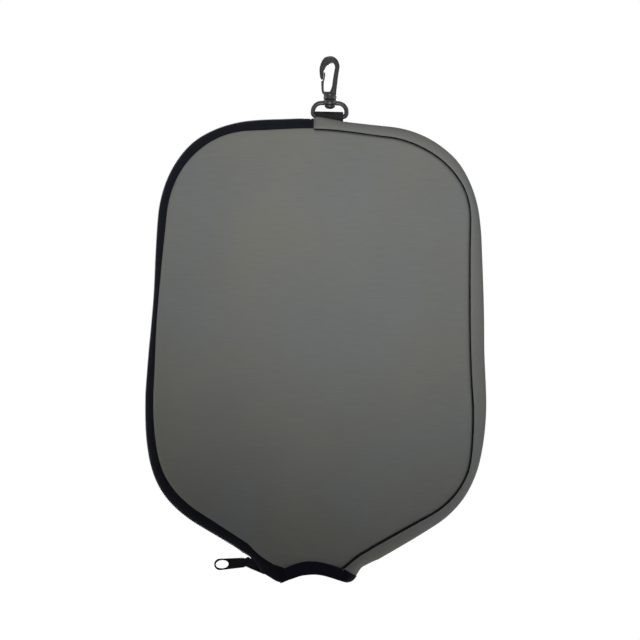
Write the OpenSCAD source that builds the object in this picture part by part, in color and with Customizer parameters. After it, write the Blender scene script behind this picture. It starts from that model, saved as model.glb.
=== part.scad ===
// Zip-up racket cover of padded cloth, hanging from a moulded swivel snap hook.
// +Z is up, +X is to the right of someone facing the front panel, and the front looks along -Y.
// The origin is the centre of the round bearing in the hook's crook, so the cover hangs below it.
// The case is drawn lying on its back, with its outline in XY and its front along +Z, then stood up.

/* [Case outline, corners before rounding] */
// Width between the two top corners
top_w = 198; // [180:1:208]
// Width between the two side corners, where the case is widest
side_w = 217; // [208:1:235]
// Width between the two lower corners
low_w = 201; // [185:1:207]
// Width between the two necks, where the shoulders meet the mouth
neck_w = 67; // [60:1:80]
// Width between the two tips of the mouth
tip_w = 51; // [46:1:57]
// Height of the crown above the top corners
crown_rise = 8.5; // [6:0.5:14]
// Drop from the top corners to the side corners
side_len = 185; // [160:1:220]
// Drop from the side corners to the lower corners
belly_len = 49; // [44:1:60]
// Drop from the lower corners to the necks
shoulder_len = 41; // [38:1:55]
// Drop from the necks to the tips
neck_len = 14; // [12:0.5:18]
// Height of the arch of the mouth above the tips
mouth_rise = 9.5; // [7:0.5:12]

/* [Case outline, radii] */
// Radius of the crown
crown_r = 250; // [180:10:350]
// Radius of the top corners
top_r = 63; // [45:1:70]
// Radius of the side corners
side_r = 187; // [120:1:210]
// Radius of the lower corners
low_r = 61; // [40:1:64]
// Radius of the necks, which are hollow
neck_r = 4; // [2:0.5:6]
// Radius of the tips
tip_r = 9; // [8.5:0.5:10]
// Radius of the arch of the mouth, which is hollow
mouth_r = 33; // [20:1:45]

/* [Cloth] */
// Depth of the closed case, front to back
case_d = 20; // [18:0.5:30]
// Thickness of the padded cloth
cloth_t = 3; // [2:0.25:3.5]
// Distance from the edge of the case in to the seams of the panels
seam_in = 6; // [5.5:0.25:7]
// Width of the rounding at the edge of each panel
panel_round = 3; // [2:0.5:6]
// Width of the folded binding on the mouth
binding_w = 8; // [5:0.5:8]
// How much narrower the binding is inside the case
binding_step = 1; // [0.5:0.25:2]
// Thickness of the binding cloth
binding_t = 0.9; // [0.6:0.1:1.2]
// Width of the tape that binds each seam inside the case
seam_tape_w = 6; // [4:0.5:9]
// Thickness of that tape, folded over the seam
seam_tape_t = 1.2; // [0.8:0.1:1.4]
// Gap between pieces of cloth that are sewn together
sewn_gap = 0.05; // [0.02:0.01:0.1]

/* [Zip] */
// Distance from the middle of the crown to where the zip starts
zip_start = 4.5; // [3.5:0.5:6]
// Thickness of the zip's tapes
tape_t = 0.9; // [0.6:0.1:1.1]
// Width of the two rows of coil together
coil_w = 6; // [5.5:0.25:6.5]
// Diameter of the filament of the coil
filament_d = 1; // [0.8:0.05:1.05]
// Distance from one loop to the next in one row
coil_pitch = 2.2; // [2.15:0.05:3]
// How far each loop reaches past the middle when the rows mesh
mesh_over = 0.9; // [0.5:0.1:1.2]
// Width of the folded tab over the end of the gusset, where the zip starts
tab_w = 1.5; // [1:0.1:1.6]
// Thickness of the tab
tab_t = 0.3; // [0.2:0.05:0.4]
// Length of the stops that end the zip
stop_len = 3; // [2:0.5:4]

/* [Slider and pull] */
// Distance of the slider from the corner of the neck, along the shoulder
slider_set = 7; // [6.5:0.5:12]
// Straight travel of the slider up the shoulder
slider_travel = 32; // [10:1:33]
// Length of the slider
slider_len = 11; // [10:0.5:13]
// Thickness of the plates of the slider
slider_t = 1.1; // [0.9:0.1:1.3]
// Thickness of the wedge that parts the rows
wedge_t = 1; // [0.8:0.1:1.2]
// Running clearance of the slider over the coil and tapes
slider_gap = 0.15; // [0.1:0.05:0.2]
// Diameter of the pin of the pull
pin_d = 1.5; // [1.2:0.1:1.8]
// Length of the pull from its pin to its end
pull_len = 22; // [18:1:30]
// Width of the pull round its hole
pull_w = 7.4; // [6.5:0.1:9]
// Width of the pull at its neck
pull_neck = 5.2; // [4.4:0.1:6]
// Thickness of the pull
pull_t = 1.6; // [1.2:0.1:2]
// Width of the rim round the hole of the pull
pull_rim = 0.9; // [0.8:0.1:1.4]
// Length of the hole of the pull
pull_hole = 8.7; // [7.5:0.1:10]

/* [Snap hook] */
// Radius of the round bearing in the crook
crook_r = 2.8; // [2.4:0.1:3]
// Radius of the outside of the crook
crook_out_r = 6.3; // [6:0.1:6.8]
// Thickness of the hook, front to back
hook_t = 4.2; // [3.6:0.1:5]
// Distance from the bearing down to the top of the collar
hook_len = 16.9; // [16.5:0.1:20]
// Radius of the collar
collar_r = 4.2; // [4:0.1:5]
// Height of the collar
collar_h = 3.4; // [3:0.1:5]
// Thickness of the tongue of the gate
tongue_t = 1.7; // [1.4:0.1:1.8]
// Width of the tongue, front to back
tongue_w = 3.4; // [2.8:0.1:3.6]
// Clearance round the tongue
tongue_gap = 0.25; // [0.2:0.05:0.3]

/* [Swivel ring] */
// Radius of the stem of the swivel
stem_r = 1.6; // [1.4:0.1:1.8]
// Radial clearance of the stem in its bore
stem_gap = 0.06; // [0.04:0.01:0.09]
// Radius of the knob that holds the ring on the stem
knob_r = 2.7; // [2.4:0.1:3]
// Height of the knob
knob_h = 2.2; // [2:0.1:2.5]
// Radius of the boss round the bore
boss_r = 3.8; // [3.5:0.1:4.2]
// Height of the boss round the bore
boss_h = 3.7; // [3.5:0.1:4.2]
// Radius of the rod that the ring is bent from
rod_r = 1.45; // [1.2:0.05:1.5]
// Height of the ring between the middles of its two level rods
ring_h = 8.6; // [8.2:0.1:10]
// Radius of the ring's upper bends, to the middle of the rod
ring_top_r = 5.4; // [4:0.1:5.8]
// Radius of the ring's lower bends, to the middle of the rod
ring_low_r = 2.4; // [2:0.1:2.8]

/* [Hook webbing] */
// Width of the webbing
webbing_w = 16.5; // [14:0.5:17.5]
// Thickness of the webbing
webbing_t = 1.5; // [1.2:0.1:1.6]
// Clearance between the webbing's loop and the rod
webbing_gap = 0.35; // [0.25:0.05:0.4]
// Length of webbing sewn in below the gusset
webbing_tail = 6; // [4:0.5:12]
// Distance of the hook to the right of the middle of the case
hook_side = 5.5; // [5:0.5:12]
// Height of the ring's lower rod above the top of the case
rod_lift = 1.9; // [1.9:0.1:3]

/* [Hidden] */
$fn = 48;
arc_error = 0.06;

// Corners of the outline clockwise from the crown, each with its radius
top_y = -crown_rise;
side_y = top_y - side_len;
low_y = side_y - belly_len;
neck_y = low_y - shoulder_len;
tip_y = neck_y - neck_len;
mouth_y = tip_y + mouth_rise;
corners = [[-top_w / 2, top_y], [0, 0], [top_w / 2, top_y], [side_w / 2, side_y], [low_w / 2, low_y],
    [neck_w / 2, neck_y], [tip_w / 2, tip_y], [0, mouth_y], [-tip_w / 2, tip_y]];
radii = [0, crown_r, top_r, side_r, low_r, neck_r, tip_r, mouth_r, 0];
crown = 1;
neck = 5;
tip = 6;
mouth = 7;

// Levels through the depth of the case
face_z = case_d / 2;
lining_z = face_z - cloth_t;

// The swivel ring hangs under the collar and carries the case on its lower rod
collar_z = -hook_len;
end_play = 0.1;
boss_top = collar_z - collar_h - end_play;
boss_foot = boss_top - boss_h;
ring_z = boss_foot + 0.05 + rod_r - ring_h / 2;
rod_z = ring_z - ring_h / 2;
ring_w = webbing_w + 2 * ring_low_r;
knob_top = boss_foot - end_play;
loop_in = rod_r + webbing_gap;
loop_out = loop_in + webbing_t;
crown_turn = turn_at(crown);
case_top = rod_z - rod_lift + crown_r * (1 / cos(crown_turn / 2) - 1);

function unit(v) = v / norm(v);
function left_of(d) = [-d[1], d[0]];
function turned(v, a) = [v[0] * cos(a) - v[1] * sin(a), v[0] * sin(a) + v[1] * cos(a)];
function heading(i) = unit(corners[i + 1] - corners[i]);
function turn_at(i) = acos(heading(i - 1) * heading(i));

// Stations round a corner, from one share of its turn to another: each is a point and its outward direction
function bend(i, from = 0, to = 1) =
    let (
        r = radii[i],
        turn = turn_at(i),
        k = cross(heading(i - 1), heading(i)) < 0 ? 1 : -1,
        out = left_of(heading(i - 1)),
        centre = corners[i] - heading(i - 1) * r * tan(turn / 2) - k * r * out,
        n = ceil(turn * (to - from) / (2 * acos(1 - arc_error / r)))
    )
    [for (j = [0:n])
        let (o = turned(out, -k * turn * (from + (to - from) * j / n)))
        [centre + k * r * o, o]];

// Share of the crown's turn at x along it
function crown_share(x) = 0.5 + asin(x / crown_r) / turn_at(crown);

// Stations down one side, from x on the crown to a share of the turn of the tip
function side_run(x, share = 0.5) = concat(
    bend(crown, from = crown_share(x)),
    [for (i = [crown + 1:neck]) each bend(i)],
    share > 0 ? bend(tip, to = share) : [bend(tip)[0]]);
function mirrored(run) =
    [for (i = [len(run) - 1:-1:0]) [for (v = run[i]) [-v[0], v[1]]]];

gusset_run = side_run(-zip_start);
zip_run = mirrored(side_run(zip_start));
half_arch = bend(mouth, to = 0.5);
mouth_run = concat(bend(tip, from = 0.5), half_arch,
    [for (i = [1:len(half_arch) - 1]) mirrored(half_arch)[i]],
    mirrored(bend(tip, from = 0.5)));

// Points of a run moved out by u
function moved(run, u) = [for (s = run) s[0] + u * s[1]];

// Distance along a run to each of its stations
function distances(run) =
    [for (i = 0, d = 0; i < len(run);
        i = i + 1, d = d + (i < len(run) ? norm(run[i][0] - run[i - 1][0]) : 0)) d];

// The station at distance d along a run, between the two that it lies between
function station_at(run, marks, d) =
    let (
        i = max([0, for (j = [0:len(marks) - 2]) if (marks[j] < d) j]),
        share = (d - marks[i]) / (marks[i + 1] - marks[i])
    )
    [run[i][0] * (1 - share) + run[i + 1][0] * share, unit(run[i][1] * (1 - share) + run[i + 1][1] * share)];

// A profile of (outward, forward) points, anticlockwise, carried along a run
module sweep(run, profile) {
    m = len(profile);
    last = len(run) - 1;
    polyhedron(
        points = [for (s = run, q = profile)
            [s[0][0] + q[0] * s[1][0], s[0][1] + q[0] * s[1][1], q[1]]],
        faces = concat(
            [[for (j = [0:m - 1]) j]],
            [[for (j = [m - 1:-1:0]) last * m + j]],
            [for (i = [0:last - 1], j = [0:m - 1])
                let (a = i * m + j, b = i * m + (j + 1) % m)
                each [[a, a + m, b], [b, a + m, b + m]]]));
}

// Closed rings of points, clockwise, stacked from the lowest to the highest
module stack(rings, levels) {
    m = len(rings[0]);
    last = len(rings) - 1;
    polyhedron(
        points = [for (i = [0:last], p = rings[i]) [p[0], p[1], levels[i]]],
        faces = concat(
            [[for (j = [m - 1:-1:0]) j]],
            [[for (j = [0:m - 1]) last * m + j]],
            [for (i = [0:last - 1], j = [0:m - 1])
                let (a = i * m + j, b = i * m + (j + 1) % m)
                each [[a, b, b + m], [a, b + m, a + m]]]));
}

// The shape that a belt round discs encloses: each disc is x, y and radius, anticlockwise
module belt(discs) {
    n = len(discs);
    polygon([for (i = [0:n - 1])
        let (
            a = discs[i],
            b = discs[(i + 1) % n],
            along = [b[0] - a[0], b[1] - a[1]],
            k = (a[2] - b[2]) / norm(along),
            d = unit(along),
            out = -left_of(d) * sqrt(1 - k * k) + d * k
        )
        each [[a[0], a[1]] + a[2] * out, [b[0], b[1]] + b[2] * out]]);
    for (a = discs)
        translate([a[0], a[1]])
            circle(a[2]);
}

// Stands the case up under the ring
module stood() {
    translate([-hook_side, 0, case_top])
        rotate([90, 0, 0])
            children();
}

// Turns what is drawn at the back into its match at the front, and the other way round
module at_back() {
    mirror([0, 0, 1])
        children();
}

// ---- Panels and binding ----

function panel_ring(in) = concat(
    moved(zip_run, -seam_in - sewn_gap - in),
    moved(gusset_run, -seam_in - sewn_gap - in),
    moved(mouth_run, -binding_t - sewn_gap));

// A flat panel whose side edges roll over towards the seams
module panel() {
    rolls = [0, 0, 0.15, 0.45, 1];
    rises = [0, 0.5, 0.75, 0.93, 1];
    round = min(panel_round, tip_r - seam_in - 2 * sewn_gap);
    stack([for (r = rolls) panel_ring(r * round)],
        [for (r = rises) lining_z + r * cloth_t]);
}

module front_panel() {
    color("dimgray")
        stood()
            panel();
}

module back_panel() {
    color("dimgray")
        stood()
            at_back()
                panel();
}

// The gusset bulges between the seams, and turns in at each by this many degrees
gusset_reach = 80;
groove = 0.3;
slit_gap = 0.2;

// Bulging section of the gusset: grow thickens it outward, and round its ends
function gusset_arc(rim, half, grow, steps, sign) =
    [for (i = [0:steps])
        let (a = sign * gusset_reach * (2 * i / steps - 1))
        [-seam_in + (rim + grow) * cos(a), (half + grow) * sin(a)]];
function gusset_profile(grow = 0) = concat(
    gusset_arc(seam_in, face_z - groove, grow, 14, 1),
    gusset_arc(seam_in - cloth_t, lining_z - groove, -grow, 8, -1));

// The strip itself, with the slit that the webbing goes in by
module gusset_strip() {
    wide = webbing_w + 2 * slit_gap;
    thick = 2 * (loop_out + slit_gap);
    difference() {
        sweep(side_run(-zip_start, 0), gusset_profile());
        translate([hook_side - wide / 2, -seam_in - 5, -thick / 2])
            cube([wide, seam_in + 8, thick]);
    }
}

module side_gusset() {
    color("gray")
        stood()
            gusset_strip();
}

// Channel of folded tape round the edge of one panel
function channel_profile() =
    let (
        top = face_z + binding_t,
        low = lining_z - binding_t,
        panel_top = face_z + sewn_gap,
        panel_low = lining_z - sewn_gap,
        inner = -binding_t,
        back = binding_step - binding_w
    )
    [[back, low], [-0.3, low], [0, low + 0.3], [0, top - 0.6], [-0.6, top], [-binding_w, top],
        [-binding_w, panel_top], [inner, panel_top], [inner, panel_low], [back, panel_low]];

module front_mouth_binding() {
    color("black")
        stood()
            sweep(mouth_run, channel_profile());
}

module back_mouth_binding() {
    color("black")
        stood()
            at_back()
                sweep(mouth_run, channel_profile());
}

// The same tape round the end of the gusset, from the gusset to the front and back bindings
module gusset_end_binding() {
    start = bend(tip)[0];
    first = 0.01;
    last = 0.49;
    color("black")
        stood()
            translate(start[0] - tip_r * start[1])
                rotate([0, 0, atan2(start[1][1], start[1][0]) - last * turn_at(tip)])
                    rotate_extrude(angle = (last - first) * turn_at(tip))
                        translate([tip_r, 0])
                            polygon(gusset_profile(binding_t / 2));
}

// Tape folded over the raw edges of a seam, lying on the lining
module seam_tape() {
    outer = -seam_in - 2 * sewn_gap - groove;
    inner = outer - seam_tape_w;
    top = lining_z - sewn_gap;
    low = top - seam_tape_t;
    sweep(concat(mirrored(side_run(zip_start, 0)), side_run(-zip_start, 0)),
        [[inner, low], [outer, low], [outer, top], [inner, top]]);
}

module front_seam_tape() {
    color("black")
        stood()
            seam_tape();
}

module back_seam_tape() {
    color("black")
        stood()
            at_back()
                seam_tape();
}

// ---- Zip ----

coil_t = filament_d + 0.2;
tape_edge = wedge_t / 2 + slider_gap + 0.1;
stop_gap = 0.1;
zip_marks = distances(zip_run);
zip_len = zip_marks[len(zip_marks) - 1];
shoulder = mirrored([[corners[neck], [0, 0]], [corners[neck - 1], [0, 0]]]);
shoulder_dir = unit(shoulder[0][0] - shoulder[1][0]);
slider_at = shoulder[1][0] + slider_set * shoulder_dir;
// Distance along the zip to the middle of the slider
slider_mark = min([for (i = [0:len(zip_run) - 2])
    let (a = zip_run[i][0], b = zip_run[i + 1][0], d = unit(b - a), s = (slider_at - a) * d)
    if (s >= 0 && s <= norm(b - a) && norm(slider_at - a - s * d) < 0.5) zip_marks[i] + s]);
coil_from = slider_mark - slider_len / 2 + stop_len;
open_to = slider_mark + slider_travel + slider_len / 2;
coil_to = zip_len - stop_len / 2 - filament_d / 2 - 2 * stop_gap;

// Section of one tape, from its seam round to the middle of the zip
function tape_profile() =
    let (
        under = -coil_t,
        turn_z = coil_w / 2 + 1.2,
        seam_z = face_z - cloth_t / 2,
        r_u = seam_in + under,
        r_z = seam_z - turn_z
    )
    concat(
        [[under, tape_edge]],
        [for (a = [0:15:90]) [under - r_u + r_u * cos(a), turn_z + r_z * sin(a)]],
        [for (a = [90:-15:0])
            [under - r_u + (r_u - tape_t) * cos(a), turn_z + (r_z - tape_t) * sin(a)]],
        [[under - tape_t, tape_edge]]);

module tape() {
    sweep(zip_run, tape_profile());
}

module front_zip_tape() {
    color("black")
        stood()
            tape();
}

module back_zip_tape() {
    color("black")
        stood()
            at_back()
                tape();
}

// Places what is drawn along a run, with X along it and Y outward, at distance d
module on_zip(d) {
    s = station_at(zip_run, zip_marks, d);
    translate([s[0][0], s[0][1], 0])
        rotate([0, 0, atan2(s[1][1], s[1][0]) - 90])
            children();
}

// One row of loops. They mesh with the other row, except where the slider runs.
module coil_row(shift) {
    for (d = [coil_from + shift:coil_pitch:coil_to]) {
        inner = d > open_to ? -mesh_over : wedge_t / 2 + slider_gap;
        on_zip(d)
            translate([0, -0.05 - filament_d / 2, inner])
                cylinder(d = filament_d, h = coil_w / 2 - inner, $fn = 24);
    }
}

module front_zip_coil() {
    color("black")
        stood()
            coil_row(0);
}

module back_zip_coil() {
    color("black")
        stood()
            at_back()
                coil_row(coil_pitch / 2);
}

// Cloth folded over the end of the gusset, next to the start of the zip
module zip_end_tab() {
    run = side_run(-zip_start);
    out = left_of(unit(run[1][0] - run[0][0]));
    color("slategray")
        stood()
            translate(run[0][0])
                rotate([90, 0, atan2(out[1], out[0])])
                    linear_extrude(tab_w)
                        polygon(concat(gusset_arc(seam_in, face_z - groove, sewn_gap + tab_t, 14, 1),
                            gusset_arc(seam_in, face_z - groove, sewn_gap, 14, -1)));
}

module zip_bottom_stop() {
    color("black")
        stood()
            on_zip(zip_len - stop_gap - stop_len / 4)
                translate([-stop_len / 4, -coil_t + 0.05, -coil_w / 2])
                    cube([stop_len / 2, coil_t - 0.1, coil_w]);
}

// A clip over the end of one row, next to where the slider rests
module top_stop() {
    on_zip(coil_from - filament_d / 2 - stop_len / 2 - stop_gap)
        translate([-stop_len / 2, -coil_t + 0.05, wedge_t / 2 + slider_gap])
            cube([stop_len, coil_t - 0.1, coil_w / 2 - wedge_t / 2 - slider_gap]);
}

module front_top_stop() {
    color("black")
        stood()
            top_stop();
}

module back_top_stop() {
    color("black")
        stood()
            at_back()
                top_stop();
}

// ---- Slider and pull ----

pin_lift = 3.6;
rail_z = coil_w / 2 + slider_gap;
lug_t = 1;
lug_z = pull_t / 2 + slider_gap;

// Draws with X along the zip and Y outward, from the middle of the slider
module at_slider() {
    translate([slider_at[0], slider_at[1], 0])
        rotate([0, 0, atan2(shoulder_dir[1], shoulder_dir[0])])
            children();
}

// The slider's plates seen from outside: wide at the mouth end, narrower behind
module slider_plan() {
    belt([[-slider_len / 2 + 2, -rail_z + 0.55, 2], [slider_len / 2 - 1.7, -rail_z + 0.75, 1.7],
        [slider_len / 2 - 1.7, rail_z - 0.75, 1.7], [-slider_len / 2 + 2, rail_z - 0.55, 2]]);
}

// A slice of the slider between two heights above the edge of the case
module slider_slice(low, high) {
    translate([0, high, 0])
        rotate([90, 0, 0])
            linear_extrude(high - low)
                children();
}

module slider_body() {
    over = slider_gap;
    under = -coil_t - tape_t - slider_gap;
    difference() {
        union() {
            slider_slice(over, over + slider_t)
                slider_plan();
            slider_slice(under - slider_t, under)
                slider_plan();
            slider_slice(-coil_t + slider_gap, over + slider_t)
                difference() {
                    slider_plan();
                    square([2 * slider_len, 2 * rail_z], center = true);
                }
            slider_slice(under - slider_t, over + slider_t)
                belt([[-slider_len / 2 + 1.2, 0, wedge_t / 2], [-0.6, 0, wedge_t / 2]]);
            for (z = [lug_z, -lug_z - lug_t])
                translate([0, 0, z])
                    linear_extrude(lug_t)
                        belt([[-2.6, over + slider_t, 0.7], [2.6, over + slider_t, 0.7],
                            [0, pin_lift, pin_d / 2 + 0.7]]);
        }
        translate([0, pin_lift, 0])
            cylinder(d = pin_d + 0.04, h = 4 * lug_z + 4 * lug_t, center = true);
    }
}

module zip_slider() {
    color("black")
        stood()
            at_slider()
                slider_body();
}

module pull_pin() {
    color("black")
        stood()
            at_slider()
                translate([0, pin_lift, 0])
                    cylinder(d = pin_d, h = 2 * (lug_z + lug_t), center = true);
}

// The pull points level to the left, from its pin
module zip_pull() {
    end_x = pull_w / 2 - pull_len;
    hole_w = pull_w - 2 * pull_rim;
    hole_x = pull_rim + hole_w / 2 - pull_len;
    pin = slider_at + pin_lift * left_of(shoulder_dir);
    color("black")
        stood()
            translate([pin[0], pin[1], -pull_t / 2])
                difference() {
                    linear_extrude(pull_t)
                        difference() {
                            union() {
                                belt([[end_x, 0, pull_w / 2], [-8, 0, pull_neck / 2]]);
                                belt([[-8, 0, pull_neck / 2], [0, 0, pin_lift - slider_gap - slider_t - 0.2]]);
                            }
                            belt([[hole_x, 0, hole_w / 2], [hole_x + pull_hole - hole_w, 0, hole_w / 2]]);
                        }
                    translate([0, 0, -1])
                        cylinder(d = pin_d + 0.16, h = pull_t + 2);
                }
}

// ---- Hook, ring and webbing ----

// Webbing folded round the ring's lower rod, its two ends sewn in under the gusset
module hook_webbing() {
    tail_z = case_top - rod_z - seam_in - webbing_tail;
    color("black")
        translate([-webbing_w / 2, 0, rod_z])
            rotate([90, 0, 90])
                linear_extrude(webbing_w)
                    difference() {
                        union() {
                            belt([[0, tail_z + webbing_t, webbing_t], [0, 0, loop_out]]);
                            translate([-webbing_t, tail_z])
                                square([2 * webbing_t, webbing_t]);
                        }
                        circle(loop_in);
                    }
}

// A straight stretch of the rod
module rod(length) {
    rotate([0, 90, 0])
        cylinder(r = rod_r, h = length);
}

// A quarter turn of the rod, from its level stretch round to the side of the ring
module ring_corner(r) {
    translate([ring_w / 2 - r, ring_h / 2 - r])
        rotate_extrude(angle = 90)
            translate([r, 0])
                circle(rod_r);
}

module swivel_ring() {
    color("black")
        difference() {
            union() {
                translate([0, 0, ring_z])
                    rotate([90, 0, 0]) {
                        for (side = [0, 1])
                            mirror([side, 0, 0]) {
                                ring_corner(ring_top_r);
                                mirror([0, 1, 0])
                                    ring_corner(ring_low_r);
                                translate([ring_w / 2, ring_low_r - ring_h / 2])
                                    rotate([0, 0, 90])
                                        rod(ring_h - ring_low_r - ring_top_r);
                            }
                        translate([ring_top_r - ring_w / 2, ring_h / 2])
                            rod(ring_w - 2 * ring_top_r);
                        translate([ring_low_r - ring_w / 2, -ring_h / 2])
                            rod(ring_w - 2 * ring_low_r);
                    }
                translate([0, 0, boss_foot])
                    cylinder(r = boss_r, h = boss_h);
            }
            translate([0, 0, boss_foot - 1])
                cylinder(r = stem_r + stem_gap, h = boss_h + 2);
        }
}

tongue_r = tongue_t / 2;
root = [-3.5, collar_z + 0.5];
root_r = 1;
nose_z = -7.5;
tongue_top = -3.7;

// The tongue bows from its root up to the inside of the nose
function tongue_discs(grow) = [
    [root[0], root[1], root_r + min(grow, 0.08)],
    [-4.75, root[1] + 3.2, tongue_r + grow],
    [-4.85, nose_z - 1.5, tongue_r + grow],
    [-4.3, tongue_top, tongue_r + grow]];

module tongue_shape(grow = 0) {
    discs = tongue_discs(grow);
    for (i = [0:len(discs) - 2])
        belt([discs[i], discs[i + 1]]);
}

// The crook, spine and nose seen from the front
module hook_shape() {
    difference() {
        belt([[0, collar_z - 0.8, collar_r - 0.3], [-0.4, 1.3, crook_out_r]]);
        belt([[-2.2, collar_z + 1.7, 1.5], [0, 0, crook_r], [-1.4, -2.5, crook_r - 0.2]]);
        polygon([[-12, nose_z], [-5, nose_z], [-4.8, nose_z - 2], [root[0] - 0.6, root[1]], [-12, root[1]]]);
        translate([-12, collar_z - collar_h / 2 - 12])
            square([24, 12]);
    }
}

module snap_hook() {
    color("black") {
        difference() {
            union() {
                rotate([90, 0, 0])
                    translate([0, 0, -hook_t / 2])
                        linear_extrude(hook_t)
                            hook_shape();
                translate([0, 0, collar_z - collar_h])
                    cylinder(r = collar_r, h = collar_h);
            }
            rotate([90, 0, 0])
                translate([0, 0, -collar_r])
                    linear_extrude(2 * collar_r)
                        tongue_shape(tongue_gap);
        }
        translate([0, 0, knob_top - knob_h / 2])
            cylinder(r = stem_r, h = collar_z - knob_top);
        translate([0, 0, knob_top])
            rotate_extrude()
                intersection() {
                    translate([0, -knob_h])
                        square([knob_r, knob_h]);
                    circle(knob_r);
                }
    }
}

module gate_tongue() {
    color("black")
        rotate([90, 0, 0])
            translate([0, 0, -tongue_w / 2])
                linear_extrude(tongue_w)
                    tongue_shape();
}

front_panel();
back_panel();
side_gusset();
front_mouth_binding();
back_mouth_binding();
gusset_end_binding();
front_seam_tape();
back_seam_tape();
front_zip_tape();
back_zip_tape();
front_zip_coil();
back_zip_coil();
zip_end_tab();
zip_bottom_stop();
front_top_stop();
back_top_stop();
zip_slider();
pull_pin();
zip_pull();
hook_webbing();
swivel_ring();
snap_hook();
gate_tongue();
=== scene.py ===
"""Zip-up cover for a racket paddle, hung from a moulded swivel hook.

The cover is two padded cloth panels joined on one side by a bulging gusset and on the other by a coil zip.
Every length is in metres. +Z is up, the front panel looks along -Y, and the hook's bearing is the origin.
"""

import logging
import math
from dataclasses import dataclass, replace
from enum import Enum
from typing import Any, Callable, Iterable, Sequence

import bmesh
import bpy
from mathutils import Matrix, Vector, noise
from mathutils.bvhtree import BVHTree
from mathutils.kdtree import KDTree


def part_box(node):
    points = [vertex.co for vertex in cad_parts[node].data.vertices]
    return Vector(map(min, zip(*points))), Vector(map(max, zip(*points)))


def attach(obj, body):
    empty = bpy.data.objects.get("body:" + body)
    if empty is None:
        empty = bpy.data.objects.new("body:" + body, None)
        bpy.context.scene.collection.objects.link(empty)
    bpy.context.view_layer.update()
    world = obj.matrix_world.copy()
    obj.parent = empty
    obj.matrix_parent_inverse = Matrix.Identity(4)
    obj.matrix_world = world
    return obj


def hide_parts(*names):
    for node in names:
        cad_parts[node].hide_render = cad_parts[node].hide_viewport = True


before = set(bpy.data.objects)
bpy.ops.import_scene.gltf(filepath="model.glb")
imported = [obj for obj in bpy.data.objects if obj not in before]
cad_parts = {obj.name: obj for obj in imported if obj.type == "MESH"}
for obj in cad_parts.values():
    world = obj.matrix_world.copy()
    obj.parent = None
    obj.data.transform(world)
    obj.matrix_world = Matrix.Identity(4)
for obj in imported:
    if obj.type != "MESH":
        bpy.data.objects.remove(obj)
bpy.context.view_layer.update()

log = logging.getLogger("paddle_cover")

MM = 0.001
FORWARD = Vector((0, -1, 0))
Profile = Sequence[tuple[float, float]]
Ends = Sequence[tuple[float, float, float, float]]


class Side(Enum):
    """The two halves of the case: each value is the way that half faces along FORWARD."""

    FRONT = 1
    BACK = -1

    @property
    def word(self) -> str:
        """The side's name as the CAD nodes spell it."""
        return self.name.lower()

    @property
    def turn(self) -> Matrix:
        """Turns what is drawn at the front to this side."""
        return Matrix.Diagonal((1, self.value, 1, 1))


class Grain(Enum):
    """What a cloth's pattern follows: the piece's own length and girth, or the flat of the panels."""

    ALONG_PIECE = "along_piece"
    ACROSS_PANEL = "across_panel"


# ---- Finishes ----


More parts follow.
